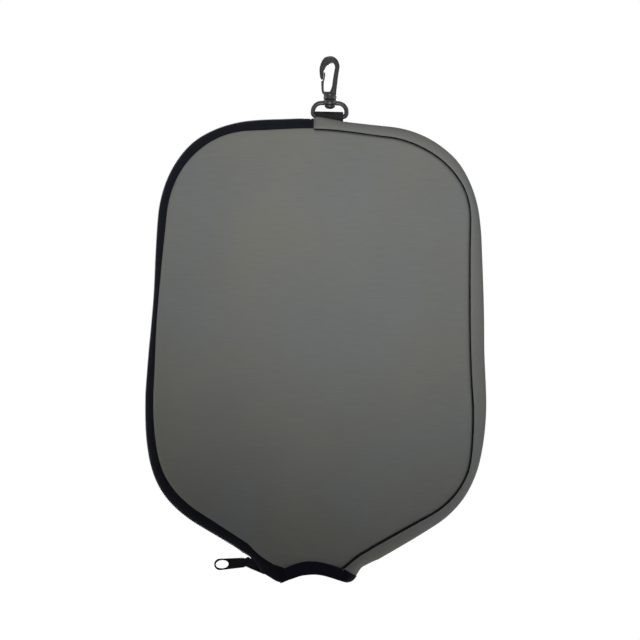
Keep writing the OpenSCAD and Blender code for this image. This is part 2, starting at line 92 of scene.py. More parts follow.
class Shader:
    """One material's nodes, added and linked by short calls."""

    def __init__(self, name: str) -> None:
        """Starts a material whose only nodes are a Principled shader and its output.

        Args:
            name: The material's name.
        """
        self.material = bpy.data.materials.new(name)
        self.material.use_nodes = True
        self.tree = self.material.node_tree
        self.surface = self.tree.nodes["Principled BSDF"]

    def add(self, kind: str, inputs: dict[Any, Any] | None = None, **settings: Any) -> bpy.types.Node:
        """Adds a node.

        Args:
            kind: The node's type, without its ShaderNode prefix.
            inputs: Values, or sockets to link from, by input name or number.
            settings: The node's own properties.

        Returns:
            The new node.
        """
        node = self.tree.nodes.new("ShaderNode" + kind)
        for key, value in settings.items():
            setattr(node, key, value)
        for key, value in (inputs or {}).items():
            self.feed(node, key, value)
        return node

    def feed(self, node: bpy.types.Node, key: Any, value: Any) -> None:
        """Sets one input of a node, or links it where the value is a socket."""
        if isinstance(value, bpy.types.NodeSocket):
            self.tree.links.new(value, node.inputs[key])
        else:
            node.inputs[key].default_value = value

    def maths(self, operation: str, *values: Any) -> bpy.types.NodeSocket:
        """Result of one Math node on numbers or sockets."""
        node = self.add("Math", dict(enumerate(values)), operation=operation)
        return node.outputs[0]

    def grain(self, grain: Grain) -> bpy.types.NodeSocket:
        """Coordinates that a cloth's pattern follows, in metres."""
        if grain is Grain.ACROSS_PANEL:
            return self.add("TexCoord").outputs["Object"]
        along = self.add("Attribute", attribute_name="along").outputs["Fac"]
        across = self.add("Attribute", attribute_name="across").outputs["Fac"]
        return self.add("CombineXYZ", {0: along, 2: across}).outputs[0]

    def waves(self, vector: bpy.types.NodeSocket, length: float, axis: str) -> bpy.types.NodeSocket:
        """Even ridges across one axis.

        Args:
            vector: Coordinates in metres.
            length: Distance from ridge to ridge.
            axis: X, Y, Z or DIAGONAL.

        Returns:
            The height of the ridges, from 0 to 1.
        """
        wave = self.add("TexWave", {"Vector": vector, "Scale": math.pi / 10 / length, "Distortion": 0.0})
        wave.bands_direction = axis
        return wave.outputs["Fac"]

    def cloud(self, vector: bpy.types.NodeSocket, size: float, stretch: Sequence[float] = (1, 1, 1),
              detail: float = 2.0) -> bpy.types.NodeSocket:
        """Soft random patches.

        Args:
            vector: Coordinates in metres.
            size: About how wide a patch is.
            stretch: How much longer the patches are along each axis.
            detail: How many finer layers are added.

        Returns:
            A value round 0.5.
        """
        scale = [1 / (size * s) for s in stretch]
        mapped = self.add("Mapping", {"Vector": vector, "Scale": scale}).outputs[0]
        return self.add("TexNoise", {"Vector": mapped, "Scale": 1.0, "Detail": detail}).outputs["Fac"]

    def tint(self, colour: Sequence[float], amount: bpy.types.NodeSocket, spread: float) -> None:
        """Colours the surface, lighter and darker by a share that follows a value round 0.5."""
        low = [c * (1 - spread) for c in colour] + [1]
        high = [c * (1 + spread) for c in colour] + [1]
        mix = self.add("Mix", {0: amount, 6: low, 7: high}, data_type="RGBA")
        self.feed(self.surface, "Base Color", mix.outputs[2])

    def cast(self, cool: Sequence[float], warm: Sequence[float], amount: bpy.types.NodeSocket) -> None:
        """Shifts the colour to one cast or the other, by a value round 0.5."""
        colour = self.surface.inputs["Base Color"].links[0].from_socket
        shades = [self.add("Mix", {0: 1.0, 6: colour, 7: [*cast, 1]}, data_type="RGBA", blend_type="MULTIPLY")
                  for cast in (cool, warm)]
        swing = self.add("MapRange", {0: amount, 1: 0.38, 2: 0.62}).outputs[0]
        mix = self.add("Mix", {0: swing, 6: shades[0].outputs[2], 7: shades[1].outputs[2]}, data_type="RGBA")
        self.feed(self.surface, "Base Color", mix.outputs[2])

    def emboss(self, height: bpy.types.NodeSocket, depth: float) -> None:
        """Bumps the surface by a height from 0 to 1, times a depth in metres."""
        below = self.surface.inputs["Normal"]
        inputs = {"Height": height, "Distance": depth, "Strength": 1.0}
        if below.is_linked:
            inputs["Normal"] = below.links[0].from_socket
        self.feed(self.surface, "Normal", self.add("Bump", inputs).outputs["Normal"])


@dataclass(frozen=True)
class Finish:
    """A surface's colour and gloss. Each kind of finish adds its own texture to it."""

    name: str
    colour: tuple[float, float, float]
    roughness: float = 0.6
    slot: str = ""
    shine: float = 0.2

    def material(self) -> bpy.types.Material:
        """The finish as a material, made once."""
        return bpy.data.materials.get(self.name) or self.make()

    def make(self) -> bpy.types.Material:
        """Makes the material."""
        shader = Shader(self.name)
        shader.surface.inputs["Roughness"].default_value = self.roughness
        shader.surface.inputs["Specular IOR Level"].default_value = self.shine
        self.texture(shader)
        return shader.material

    def texture(self, shader: Shader) -> None:
        """Adds what is this finish's own to its shader."""
        raise NotImplementedError


@dataclass(frozen=True)
class KnitCloth(Finish):
    """Fine knit laminated on foam: soft, matt, with faint streaks across it."""

    grain: Grain = Grain.ACROSS_PANEL
    wale: float = 0.9 * MM
    course: float = 0.65 * MM
    cool: float = 0.05
    spread: float = 0.17
    sheen: float = 0.04

    def texture(self, shader: Shader) -> None:
        """Stitches of the knit, streaks of uneven yarn and broad soft patches."""
        where = shader.grain(self.grain)
        across = (1, 1, 1) if self.grain is Grain.ALONG_PIECE else (9, 9, 1)
        streaks = shader.cloud(where, 1.4 * MM, across, detail=3)
        patches = shader.cloud(where, 60 * MM, detail=1)
        fuzz = shader.cloud(where, 0.3 * MM)
        mixed = shader.maths("ADD", shader.maths("MULTIPLY", streaks, 0.5),
                             shader.maths("MULTIPLY", patches, 0.3))
        shader.tint(self.colour, shader.maths("ADD", mixed, shader.maths("MULTIPLY", fuzz, 0.2)), self.spread)
        shader.cast((1 - self.cool, 1.0, 1.02), (1.0, 1.0, 1 - self.cool),
                    shader.cloud(shader.add("TexCoord").outputs["Object"], 70 * MM, detail=1))
        loops = shader.maths("MULTIPLY", shader.waves(where, self.wale, "X"),
                             shader.waves(where, self.course, "Z"))
        shader.emboss(loops, 0.05 * MM)
        shader.emboss(fuzz, 0.06 * MM)
        shader.surface.inputs["Sheen Weight"].default_value = self.sheen
        shader.surface.inputs["Sheen Roughness"].default_value = 0.6


@dataclass(frozen=True)
class WovenTape(Finish):
    """Close woven tape or webbing, with its ribs along or across it."""

    rib: float = 0.55 * MM
    depth: float = 0.07 * MM
    spread: float = 0.45
    sheen: float = 0.01

    def texture(self, shader: Shader) -> None:
        """Ribs along the tape, crossed by the weft, with single brighter yarns."""
        where = shader.grain(Grain.ALONG_PIECE)
        warp = shader.waves(where, self.rib, "Z")
        weft = shader.waves(where, self.rib * 0.7, "X")
        slubs = shader.cloud(where, 0.5 * MM, (8, 1, 1))
        dust = shader.cloud(where, 9 * MM)
        mixed = shader.maths("MULTIPLY_ADD", slubs, 0.6, shader.maths("MULTIPLY", dust, 0.4))
        shader.tint(self.colour, mixed, self.spread)
        shader.emboss(shader.maths("MULTIPLY", warp, weft), self.depth)
        shader.emboss(slubs, self.depth / 2)
        shader.surface.inputs["Sheen Weight"].default_value = self.sheen
        shader.surface.inputs["Sheen Roughness"].default_value = 0.5


@dataclass(frozen=True)
class Moulding(Finish):
    """Moulded nylon: dark, half glossy, with a fine spark-eroded grain and scuffs."""

    grit: float = 0.25 * MM

    def texture(self, shader: Shader) -> None:
        """Fine grain, slow waves in the gloss and lighter scuffs."""
        where = shader.add("TexCoord").outputs["Object"]
        scuffs = shader.cloud(where, 1.6 * MM, (1, 1, 5), detail=4)
        shader.tint(self.colour, scuffs, 0.3)
        gloss = shader.maths("MULTIPLY_ADD", scuffs, 0.3, self.roughness - 0.15)
        shader.feed(shader.surface, "Roughness", gloss)
        shader.emboss(shader.cloud(where, self.grit), 0.02 * MM)


@dataclass(frozen=True)
class Enamel(Finish):
    """Black enamel on cast metal, thin enough to show a few rubbed places."""

    bare: tuple[float, float, float] = (0.05, 0.05, 0.055)

    def texture(self, shader: Shader) -> None:
        """Orange-peel in the enamel, and rubbed specks that show the metal."""
        where = shader.add("TexCoord").outputs["Object"]
        specks = shader.cloud(where, 0.9 * MM, detail=5)
        rubbed = shader.add("MapRange", {0: specks, 1: 0.68, 2: 0.78}).outputs[0]
        mix = shader.add("Mix", {0: rubbed, 6: [*self.colour, 1], 7: [*self.bare, 1]}, data_type="RGBA")
        shader.feed(shader.surface, "Base Color", mix.outputs[2])
        shader.feed(shader.surface, "Metallic", rubbed)
        gloss = shader.maths("MULTIPLY_ADD", specks, 0.25, self.roughness - 0.1)
        shader.feed(shader.surface, "Roughness", gloss)
        shader.emboss(shader.cloud(where, 0.7 * MM, detail=1), 0.03 * MM)


@dataclass(frozen=True)
class Filament(Finish):
    """Drawn nylon thread or coil, with a soft shine along it."""

    def texture(self, shader: Shader) -> None:
        """Lengthways flecks in colour and gloss."""
        where = shader.add("TexCoord").outputs["Object"]
        flecks = shader.cloud(where, 0.6 * MM, detail=3)
        shader.tint(self.colour, flecks, 0.35)
        gloss = shader.maths("MULTIPLY_ADD", flecks, 0.3, self.roughness - 0.15)
        shader.feed(shader.surface, "Roughness", gloss)
        shader.emboss(flecks, 0.02 * MM)


GREY = (0.142, 0.142, 0.135)
NIGHT = (0.0085, 0.009, 0.0135)
INK = (0.007, 0.0072, 0.0125)
PANEL_CLOTH = KnitCloth("panel_knit", GREY, 0.85, "panel_cloth")
GUSSET_CLOTH = KnitCloth("gusset_knit", GREY, 0.85, "panel_cloth", grain=Grain.ALONG_PIECE)
HEM_CLOTH = KnitCloth("hem_knit", (0.112, 0.113, 0.122), 0.85, "panel_cloth", grain=Grain.ALONG_PIECE)
ZIP_TAPE = WovenTape("zip_tape_weave", NIGHT, 0.8, "zip_tape", 0.03)
BINDING = WovenTape("binding_weave", INK, 0.8, "binding_cloth", 0.03, rib=0.8 * MM)
WEBBING = WovenTape("webbing_weave", (0.009, 0.009, 0.010), 0.7, "webbing", 0.12, rib=1.1 * MM,
                    depth=0.16 * MM)
COIL = Filament("coil_filament", (0.005, 0.005, 0.008), 0.55, "coil_nylon", 0.05)
# Dark thread for the real stitches and the coil sewing; on the seam cords the same dark colour is painted shade
# of the gusset's grooves.
THREAD_AND_SEAM_SHADE = Filament("sewing_thread_and_seam_shade", (0.006, 0.006, 0.009), 0.7, "binding_cloth", 0.04)
HOOK_PLASTIC = Moulding("hook_plastic_black", (0.012, 0.012, 0.014), 0.36, "hook_plastic", 0.35)
SLIDER_ENAMEL = Enamel("slider_enamel", (0.003, 0.003, 0.005), 0.4, "slider_metal", 0.06)
STOP_METAL = Enamel("stop_enamel", (0.010, 0.010, 0.012), 0.42, "stop_metal", 0.25)


# ---- Runs and swept shapes ----


@dataclass(frozen=True)
class Station:
    """A place on a run: a point, the ways outward and across, the distance along, and the seam abreast."""

    at: Vector
    out: Vector
    across: Vector = FORWARD
    mark: float = 0.0
    seam: Vector = Vector((0, 0, 0))

    @property
    def depth(self) -> float:
        """How far in the seam is."""
        return (self.at - self.seam).length

    @property
    def inward(self) -> Vector:
        """The direction from the rim to the seam."""
        return (self.seam - self.at).normalized()

    @property
    def along(self) -> Vector:
        """The direction of the run."""
        return self.across.cross(self.out)

    def place(self) -> Matrix:
        """Takes (outward, along, across) coordinates to the frame of the cover."""
        return axes(self.out, self.along, self.across, self.at)


Run = list[Station]


def axes(x: Vector, y: Vector, z: Vector, at: Vector) -> Matrix:
    """Takes coordinates along three directions, measured from a point, to the frame of the cover."""
    matrix = Matrix((x, y, z)).transposed().to_4x4()
    matrix.translation = at
    return matrix


def placed(bm: bmesh.types.BMesh, matrix: Matrix) -> bmesh.types.BMesh:
    """Moves, turns or mirrors a shape, and turns its faces outward again."""
    bmesh.ops.transform(bm, matrix=matrix, verts=bm.verts)
    bmesh.ops.recalc_face_normals(bm, faces=bm.faces)
    return bm


def panel_levels() -> tuple[float, float]:
    """How far forward the front panel's outer face and its lining lie."""
    low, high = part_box("front_panel")
    return -low.y, -high.y


def marked(run: Iterable[Station], step: float) -> Run:
    """A run with its distances measured, and stations added where two are further apart than a step.

    Args:
        run: Stations in order.
        step: The most that two neighbours may be apart.

    Returns:
        The run, starting at distance 0.
    """
    made: Run = []
    for station in run:
        if not made:
            made.append(replace(station, mark=0.0))
            continue
        last = made[-1]
        gap = (station.at - last.at).length
        if gap < 1e-7:
            continue
        for k in range(1, math.ceil(gap / step) + 1):
            share = k / math.ceil(gap / step)
            made.append(Station(last.at.lerp(station.at, share),
                                last.out.lerp(station.out, share).normalized(), station.across,
                                last.mark + gap * share, last.seam.lerp(station.seam, share)))
    return made


def mirrored(run: Run, centre: float) -> Run:
    """A run turned to the other side of the case, in the other order."""
    return [Station(Vector((2 * centre - s.at.x, s.at.y, s.at.z)), Vector((-s.out.x, 0, s.out.z)),
                    mark=run[-1].mark - s.mark, seam=Vector((2 * centre - s.seam.x, s.seam.y, s.seam.z)))
            for s in reversed(run)]


def stretched(run: Run, usual: float, still: float = 0.0) -> Run:
    """A run whose sections are stretched inward, so that what lies at the usual depth reaches the seam.

    Args:
        run: The run.
        usual: The depth that the section is drawn for.
        still: The depth that isn't moved.

    Returns:
        The run, its outward directions no longer of unit length.
    """
    made = []
    for s in run:
        factor = (s.depth - still) / (usual - still)
        made.append(replace(s, at=s.at - s.inward * (still * (factor - 1)), out=s.inward * -factor))
    return made


def at_mark(run: Run, mark: float) -> Station:
    """The station at a distance along a run."""
    k = next((i for i, s in enumerate(run) if s.mark >= mark), len(run) - 1)
    a, b = run[max(k - 1, 0)], run[k]
    share = 0.0 if b.mark == a.mark else (mark - a.mark) / (b.mark - a.mark)
    return Station(a.at.lerp(b.at, share), a.out.lerp(b.out, share).normalized(), b.across, mark,
                   a.seam.lerp(b.seam, share))


def carried(ring: Profile, run: Run, closed: bool = False) -> bmesh.types.BMesh:
    """Sweeps a closed ring of (outward, across) points from station to station.

    Each vertex keeps its distance along the run and round the ring, for the grain of cloth.

    Args:
        ring: The section's corners, in order.
        run: Where the section goes.
        closed: Whether the run ends where it starts.

    Returns:
        The swept shape, with its ends capped unless it is closed.
    """
    bm = bmesh.new()
    along = bm.verts.layers.float.new("along")
    across = bm.verts.layers.float.new("across")
    place = run[0].place()
    verts = [bm.verts.new(place @ Vector((u, 0, w))) for u, w in ring]
    girth = 0.0
    for k, vert in enumerate(verts):
        girth += math.dist(ring[k], ring[k - 1]) if k else 0
        vert[across] = girth
        vert[along] = run[0].mark
    edges = [bm.edges.new((a, b)) for a, b in zip(verts, verts[1:] + verts[:1])]
    first = edges
    for before, station in zip(run, run[1:]):
        made = bmesh.ops.extrude_edge_only(bm, edges=edges)["geom"]
        new = {g for g in made if isinstance(g, bmesh.types.BMVert)}
        edges = [g for g in made if isinstance(g, bmesh.types.BMEdge) and set(g.verts) <= new]
        step = station.place() @ before.place().inverted()
        bmesh.ops.transform(bm, matrix=step, verts=list(new))
        for vert in new:
            vert[along] = station.mark
    if closed:
        bmesh.ops.bridge_loops(bm, edges=first + edges)
    else:
        bmesh.ops.contextual_create(bm, geom=first)
        bmesh.ops.contextual_create(bm, geom=edges)
    bmesh.ops.recalc_face_normals(bm, faces=bm.faces)
    return bm


def rounded(width: float, height: float, corner: float, steps: int = 3) -> list[tuple[float, float]]:
    """A rounded rectangle round the origin, as a ring for carried()."""
    ring = []
    for k, (x, y) in enumerate(((1, 1), (-1, 1), (-1, -1), (1, -1))):
        for j in range(steps + 1):
            a = math.pi / 2 * (k + j / steps)
            ring.append((x * (width / 2 - corner) + corner * math.cos(a),
                         y * (height / 2 - corner) + corner * math.sin(a)))
    return ring


def circle(radius: float, sides: int) -> list[tuple[float, float]]:
    """Points of a circle round the origin, as a ring for carried()."""
    angles = [2 * math.pi * k / sides for k in range(sides)]
    return [(radius * math.cos(a), radius * math.sin(a)) for a in angles]


def block(size: Sequence[float], edge: float, middle: Sequence[float] = (0, 0, 0),
          segments: int = 3) -> bmesh.types.BMesh:
    """A box with rounded edges.

    Args:
        size: Its three lengths.
        edge: Radius of its edges.
        middle: Where its middle is.
        segments: How many faces round off an edge.

    Returns:
        The box.
    """
    bm = bmesh.new()
    bmesh.ops.create_cube(bm, size=1)
    bmesh.ops.transform(bm, matrix=Matrix.Translation(middle) @ Matrix.Diagonal((*size, 1)), verts=bm.verts)
    bmesh.ops.bevel(bm, geom=bm.edges, offset=edge, offset_type="OFFSET", segments=segments, profile=0.5,
                    affect="EDGES", material=-1)
    return bm


def scattered(master: bmesh.types.BMesh, places: Iterable[Matrix]) -> bmesh.types.BMesh:
    """Copies of one small shape, one at each place.

    Args:
        master: The shape, drawn at the origin. It is freed.
        places: Where each copy goes.

    Returns:
        All the copies in one mesh.
    """
    pattern = bpy.data.meshes.new("pattern")
    master.to_mesh(pattern)
    master.free()
    bm = bmesh.new()
    for place in places:
        start = len(bm.verts)
        bm.from_mesh(pattern)
        bm.verts.ensure_lookup_table()
        bmesh.ops.transform(bm, matrix=place, verts=bm.verts[start:])
    bpy.data.meshes.remove(pattern)
    return bm


def merged(*shapes: bmesh.types.BMesh) -> bmesh.types.BMesh:
    """Several shapes as one mesh. The shapes are freed."""
    whole, *others = shapes
    for shape in others:
        part = bpy.data.meshes.new("part")
        shape.to_mesh(part)
        whole.from_mesh(part)
        shape.free()
        bpy.data.meshes.remove(part)
    return whole


def turned_shape(profile: Profile, steps: int = 32) -> bmesh.types.BMesh:
    """A shape turned about Z from a line of (radius, height) points."""
    bm = bmesh.new()
    verts = [bm.verts.new((r, 0, z)) for r, z in profile]
    edges = [bm.edges.new(pair) for pair in zip(verts, verts[1:])]
    bmesh.ops.spin(bm, geom=verts + edges, cent=(0, 0, 0), axis=(0, 0, 1), angle=2 * math.pi, steps=steps,
                   use_merge=True)
    bmesh.ops.remove_doubles(bm, verts=bm.verts, dist=1e-6)
    bmesh.ops.recalc_face_normals(bm, faces=bm.faces)
    return bm


def belt(discs: Sequence[tuple[float, float, float]], steps: int = 8) -> list[tuple[float, float]]:
    """Outline of a belt round discs, each x, y and radius, anticlockwise."""
    angles = []
    for (ax, ay, ar), (bx, by, br) in zip(discs, [*discs[1:], discs[0]]):
        length = math.hypot(bx - ax, by - ay)
        heading = math.atan2(by - ay, bx - ax)
        angles.append(heading - math.acos(max(-1, min(1, (ar - br) / length))))
    outline = []
    for k, (x, y, r) in enumerate(discs):
        start, end = angles[k - 1], angles[k]
        end += 2 * math.pi * math.ceil((start - end) / (2 * math.pi) - 1e-9)
        for j in range(steps + 1):
            a = start + (end - start) * j / steps
            outline.append((x + r * math.cos(a), y + r * math.sin(a)))
    return outline


def plate(outline: Profile, low: float, high: float, edge: float, hole: Profile = ()) -> bmesh.types.BMesh:
    """A flat plate between two heights along Z, its rims rounded, with a hole if there is one.

    Args:
        outline: The rim, anticlockwise.
        low: Height of the lower face.
        high: Height of the upper face.
        edge: Radius of the rounded rims.
        hole: The rim of the hole.

    Returns:
        The plate.
    """
    bm = bmesh.new()
    loops = []
    for ring in filter(None, (outline, hole)):
        verts = [bm.verts.new((x, y, low)) for x, y in ring]
        loops += [bm.edges.new(pair) for pair in zip(verts, verts[1:] + verts[:1])]
    bmesh.ops.remove_doubles(bm, verts=bm.verts, dist=1e-6)
    if hole:
        bmesh.ops.triangle_fill(bm, edges=bm.edges, use_beauty=True)
    else:
        bmesh.ops.contextual_create(bm, geom=bm.edges)
    made = bmesh.ops.extrude_face_region(bm, geom=bm.faces, use_keep_orig=True)["geom"]
    raised = [g for g in made if isinstance(g, bmesh.types.BMVert)]
    bmesh.ops.translate(bm, vec=(0, 0, high - low), verts=raised)
    bmesh.ops.recalc_face_normals(bm, faces=bm.faces)
    rims = [e for e in bm.edges if len(e.link_faces) == 2 and e.calc_face_angle() > 1.2]
    bmesh.ops.bevel(bm, geom=rims, offset=edge, offset_type="OFFSET", segments=3, profile=0.5,
                    affect="EDGES", material=-1, clamp_overlap=True)
    return bm


def finished(bm: bmesh.types.BMesh, name: str, finish: Finish, body: str, *nodes: str,
             crease: float = 50) -> bpy.types.Object:
    """Makes a piece of the object from a mesh.

    Args:
        bm: The mesh, in the frame of the cover. It is freed.
        name: The piece's name.
        finish: What it is made of.
        body: The CAD body that it moves with.
        nodes: The CAD nodes that it stands for.
        crease: Edges that turn by more than this many degrees stay sharp.

    Returns:
        The piece.
    """
    mesh = bpy.data.meshes.new(name)
    bm.to_mesh(mesh)
    bm.free()
    mesh.shade_smooth()
    mesh.set_sharp_from_angle(angle=math.radians(crease))
    piece = bpy.data.objects.new(name, mesh)
    bpy.context.scene.collection.objects.link(piece)
    mesh.materials.append(finish.material())
    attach(piece, body)
    if nodes:
        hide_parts(*nodes)
    log.info("%s: %d faces, on %s", name, len(mesh.polygons), body)
    return piece


# ---- The outline of the case ----


@dataclass
class Outline:
    """Outline of the case seen from the front: corners down one side, each with its own rounding."""

    top_w: float = 198 * MM
    side_w: float = 217 * MM
    low_w: float = 201 * MM
    neck_w: float = 67 * MM
    tip_w: float = 51 * MM
    crown_rise: float = 8.5 * MM
    side_len: float = 185 * MM
    belly_len: float = 49 * MM
    shoulder_len: float = 41 * MM
    neck_len: float = 14 * MM
    mouth_rise: float = 9.5 * MM
    radii: tuple[float, ...] = (0, 250 * MM, 63 * MM, 187 * MM, 61 * MM, 4 * MM, 9 * MM, 33 * MM, 0)
    seam_in: float = 6 * MM
    sewn_gap: float = 0.05 * MM
    zip_start: float = 4.5 * MM
    step: float = 1.6 * MM
    gusset_depths: Profile = ((0, 6.8), (45, 8.0), (72, 8.2), (95, 6.9), (121, 5.4), (160, 7.0), (205, 8.4),
                              (240, 8.5), (273, 7.2), (300, 5.7), (325, 6.4), (345, 7.4), (365, 7.9),
                              (385, 8.2))
    zip_depths: Profile = ((0, 5.6), (34, 5.2), (63, 4.3), (94, 4.6), (121, 5.2), (159, 4.2), (197, 3.6),
                           (236, 4.6), (274, 5.2), (300, 5.8), (324, 6.7), (360, 6.7))
    gusset_bulges: Profile = ((0, 0.4), (12, -0.1), (23, -0.7), (57, -0.8), (73, -0.5), (88, 0.0), (98, 0.4),
                              (120, -0.1), (134, 0.2), (149, 1.15), (200, 1.2), (222, 0.8), (245, 1.0),
                              (283, 0.7), (303, 0.15), (316, 0.25), (337, 0.5), (358, 1.1), (385, 1.0))
    zip_bulges: Profile = ((0, 0.6), (15, 0.65), (32, 1.2), (50, 1.0), (64, 1.3), (79, 1.7), (95, 0.9),
                           (111, 0.15), (120, -0.05), (138, 0.2), (154, 0.0), (181, -0.65), (201, -0.45),
                           (217, -0.05), (240, 0.1), (256, -0.05), (272, 0.2), (288, 0.15), (308, 0.45),
                           (328, 0.0), (338, 0.1), (354, -0.4), (368, -0.7), (376, -0.1))
    gusset_end: Ends = ((41.3, -279.6, 36.8, -272.1), (36.8, -281.8, 33.1, -274.3),
                        (34.0, -283.3, 30.3, -276.0), (32.0, -284.5, 27.8, -277.9),
                        (30.5, -286.2, 25.0, -280.2), (29.4, -288.1, 22.1, -282.8),
                        (28.2, -289.9, 19.6, -284.8), (27.2, -291.5, 19.4, -285.0),
                        (25.3, -293.2, 19.3, -285.2), (22.9, -294.0, 19.2, -285.3),
                        (21.5, -294.0, 18.4, -285.0))
    zip_end: Ends = ((43.2, -277.3, 39.6, -272.5), (39.3, -279.7, 36.8, -275.3), (36.3, -283.0, 33.2, -278.5),
                     (34.2, -286.2, 29.8, -280.9), (32.2, -288.9, 27.1, -282.5), (30.2, -290.5, 24.9, -283.8),
                     (27.5, -292.1, 22.0, -284.8), (24.3, -294.0, 19.5, -285.6), (21.9, -295.2, 18.0, -285.8),
                     (20.0, -295.6, 17.8, -285.9))
    mouth: Ends = ((22.9, -293.9, 19.2, -285.1), (19.9, -293.4, 17.5, -284.4), (16.9, -292.5, 14.7, -283.5),
                   (11.6, -290.9, 10.5, -282.3), (7.1, -289.8, 6.3, -281.4), (3.0, -289.3, 2.5, -280.9),
                   (-1.0, -289.4, -1.3, -280.7), (-6.6, -290.2, -5.4, -281.2), (-11.2, -291.8, -9.1, -282.1),
                   (-15.7, -293.5, -13.2, -283.6), (-18.1, -294.6, -15.9, -284.9),
                   (-19.9, -295.2, -17.8, -285.7))

    def __post_init__(self) -> None:
        """Takes the place of the case from the frame: its middle along X, and the height of its crown."""
        low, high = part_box("front_panel")
        self.centre = (low.x + high.x) / 2
        over = self.radii[1] * (1 / math.cos(self.turn(1) / 2) - 1)
        self.lift = high.z + self.seam_in + self.sewn_gap + over

    def corners(self) -> list[Vector]:
        """The corners clockwise from the left of the crown, round to the left tip."""
        drops = (self.crown_rise, self.side_len, self.belly_len, self.shoulder_len, self.neck_len)
        widths = (self.top_w, self.side_w, self.low_w, self.neck_w, self.tip_w)
        found, y = [Vector((-self.top_w / 2, -self.crown_rise)), Vector((0, 0))], 0.0
        for width, drop in zip(widths, drops):
            y -= drop
            found.append(Vector((width / 2, y)))
        return [*found, Vector((0, y + self.mouth_rise)), Vector((-self.tip_w / 2, y))]

    def turn(self, i: int) -> float:
        """How much the outline turns at a corner, in radians."""
        before, here, after = self.corners()[i - 1:i + 2]
        return (here - before).angle(after - here)

    def bend(self, i: int, start: float = 0.0, end: float = 1.0) -> Run:
        """Stations round a corner, from one share of its turn to another."""
        before, here, after = self.corners()[i - 1:i + 2]
        heading = (here - before).normalized()
        way = 1 if heading.cross(after - here) < 0 else -1
        radius, turn = self.radii[i], self.turn(i)
        out = Vector((-heading.y, heading.x))
        centre = here - heading * radius * math.tan(turn / 2) - way * radius * out
        steps = max(1, math.ceil(turn * (end - start) * max(radius, 8 * MM) / self.step))
        run = []
        for j in range(steps + 1):
            o = Matrix.Rotation(-way * turn * (start + (end - start) * j / steps), 2) @ out
            p = centre + way * radius * o
            run.append(Station(Vector((p.x + self.centre, 0, p.y + self.lift)), Vector((o.x, 0, o.y))))
        return run

    def drawn(self, table: Ends) -> Run:
        """Stations through a table of rim and seam points, on smooth curves."""
        points = [[Vector((x * MM + self.centre, 0, z * MM + self.lift)) for x, z in (row[:2], row[2:])]
                  for row in table]
        run = []
        for k in range(len(points) - 1):
            quad = four_round(points, k)
            for j in range(4 + (k == len(points) - 2)):
                at, seam = (curved([pair[e] for pair in quad], j / 4) for e in (0, 1))
                run.append(Station(at, (at - seam).normalized(), seam=seam))
        return run

    def side(self, x: float, depths: Profile, bulges: Profile, end: Ends) -> Run:
        """Stations down the right side, with the seam abreast of each.

        Args:
            x: Where the side starts on the crown.
            depths: Depth of the seam at distances from the start, both in millimetres.
            bulges: How far the cloth stands proud of the pattern at distances from the start.
            end: Rim and seam from the neck to the mouth.

        Returns:
            The stations.
        """
        run = self.bend(1, 0.5 + math.asin(x / self.radii[1]) / self.turn(1))
        for i in range(2, 6):
            run += self.bend(i)
        drawn = self.drawn(end)
        sides = [replace(s, at=s.at + s.out * value_in(bulges, s.mark),
                         seam=s.at - s.out * value_in(depths, s.mark))
                 for s in marked(run, self.step) if s.at.z > drawn[0].at.z + self.step / 2]
        return marked(sides + drawn, self.step)

    def gusset_run(self) -> Run:
        """Stations down the gusset, from the end of the zip to the right tip."""
        return self.side(-self.zip_start, self.gusset_depths, self.gusset_bulges, self.gusset_end)

    def zip_run(self) -> Run:
        """Stations up the zip, from the left tip to the middle of the crown."""
        run = self.side(self.zip_start, self.zip_depths, self.zip_bulges, self.zip_end)
        return mirrored(run, self.centre)

    def mouth_run(self) -> Run:
        """Stations along the mouth from right to left, with the inner edge of the binding abreast."""
        return marked(self.drawn(self.mouth), self.step)

    def moved(self, run: Run, out: float) -> list[Vector]:
        """Points of a run moved outward."""
        return [s.at + s.out * out for s in run]


def value_in(table: Profile, mark: float) -> float:
    """Value of a table of (distance, value) pairs at a distance, on a smooth curve, all in millimetres."""
    x = mark / MM
    k = max(1, min(len(table) - 1, next((i for i, pair in enumerate(table) if pair[0] > x), len(table) - 1)))
    knots = [Vector(pair) for pair in four_round(table, k - 1)]
    share = max(0.0, min(1.0, (x - knots[1].x) / (knots[2].x - knots[1].x)))
    return curved(knots, share).y * MM


def four_round(points: Sequence[Any], k: int) -> list[Any]:
    """The points of a row from one before a place to two after it, with the row's ends repeated."""
    return [points[max(0, min(len(points) - 1, k + j))] for j in (-1, 0, 1, 2)]


def curved(points: Sequence[Vector], t: float) -> Vector:
    """Point between the middle two of four, on a smooth curve through them."""
    a, b, c, d = points
    return 0.5 * (2 * b + (c - a) * t + (2 * a - 5 * b + 4 * c - d) * t ** 2
                  + (3 * b - a - 3 * c + d) * t ** 3)


def nearness(points: Sequence[Vector]) -> Callable[[Vector], float]:
    """A function that gives how far a point is from a row of points, depth left out."""
    tree = KDTree(len(points))
    for k, p in enumerate(points):
        tree.insert((p.x, 0, p.z), k)
    tree.balance()
    return lambda p: tree.find((p.x, 0, p.z))[2]


def smooth(x: float) -> float:
    """Rises softly from 0 at 0 to 1 at 1."""
    t = max(0.0, min(1.0, x))
    return t * t * (3 - 2 * t)


# ---- Panels, gusset and binding ----


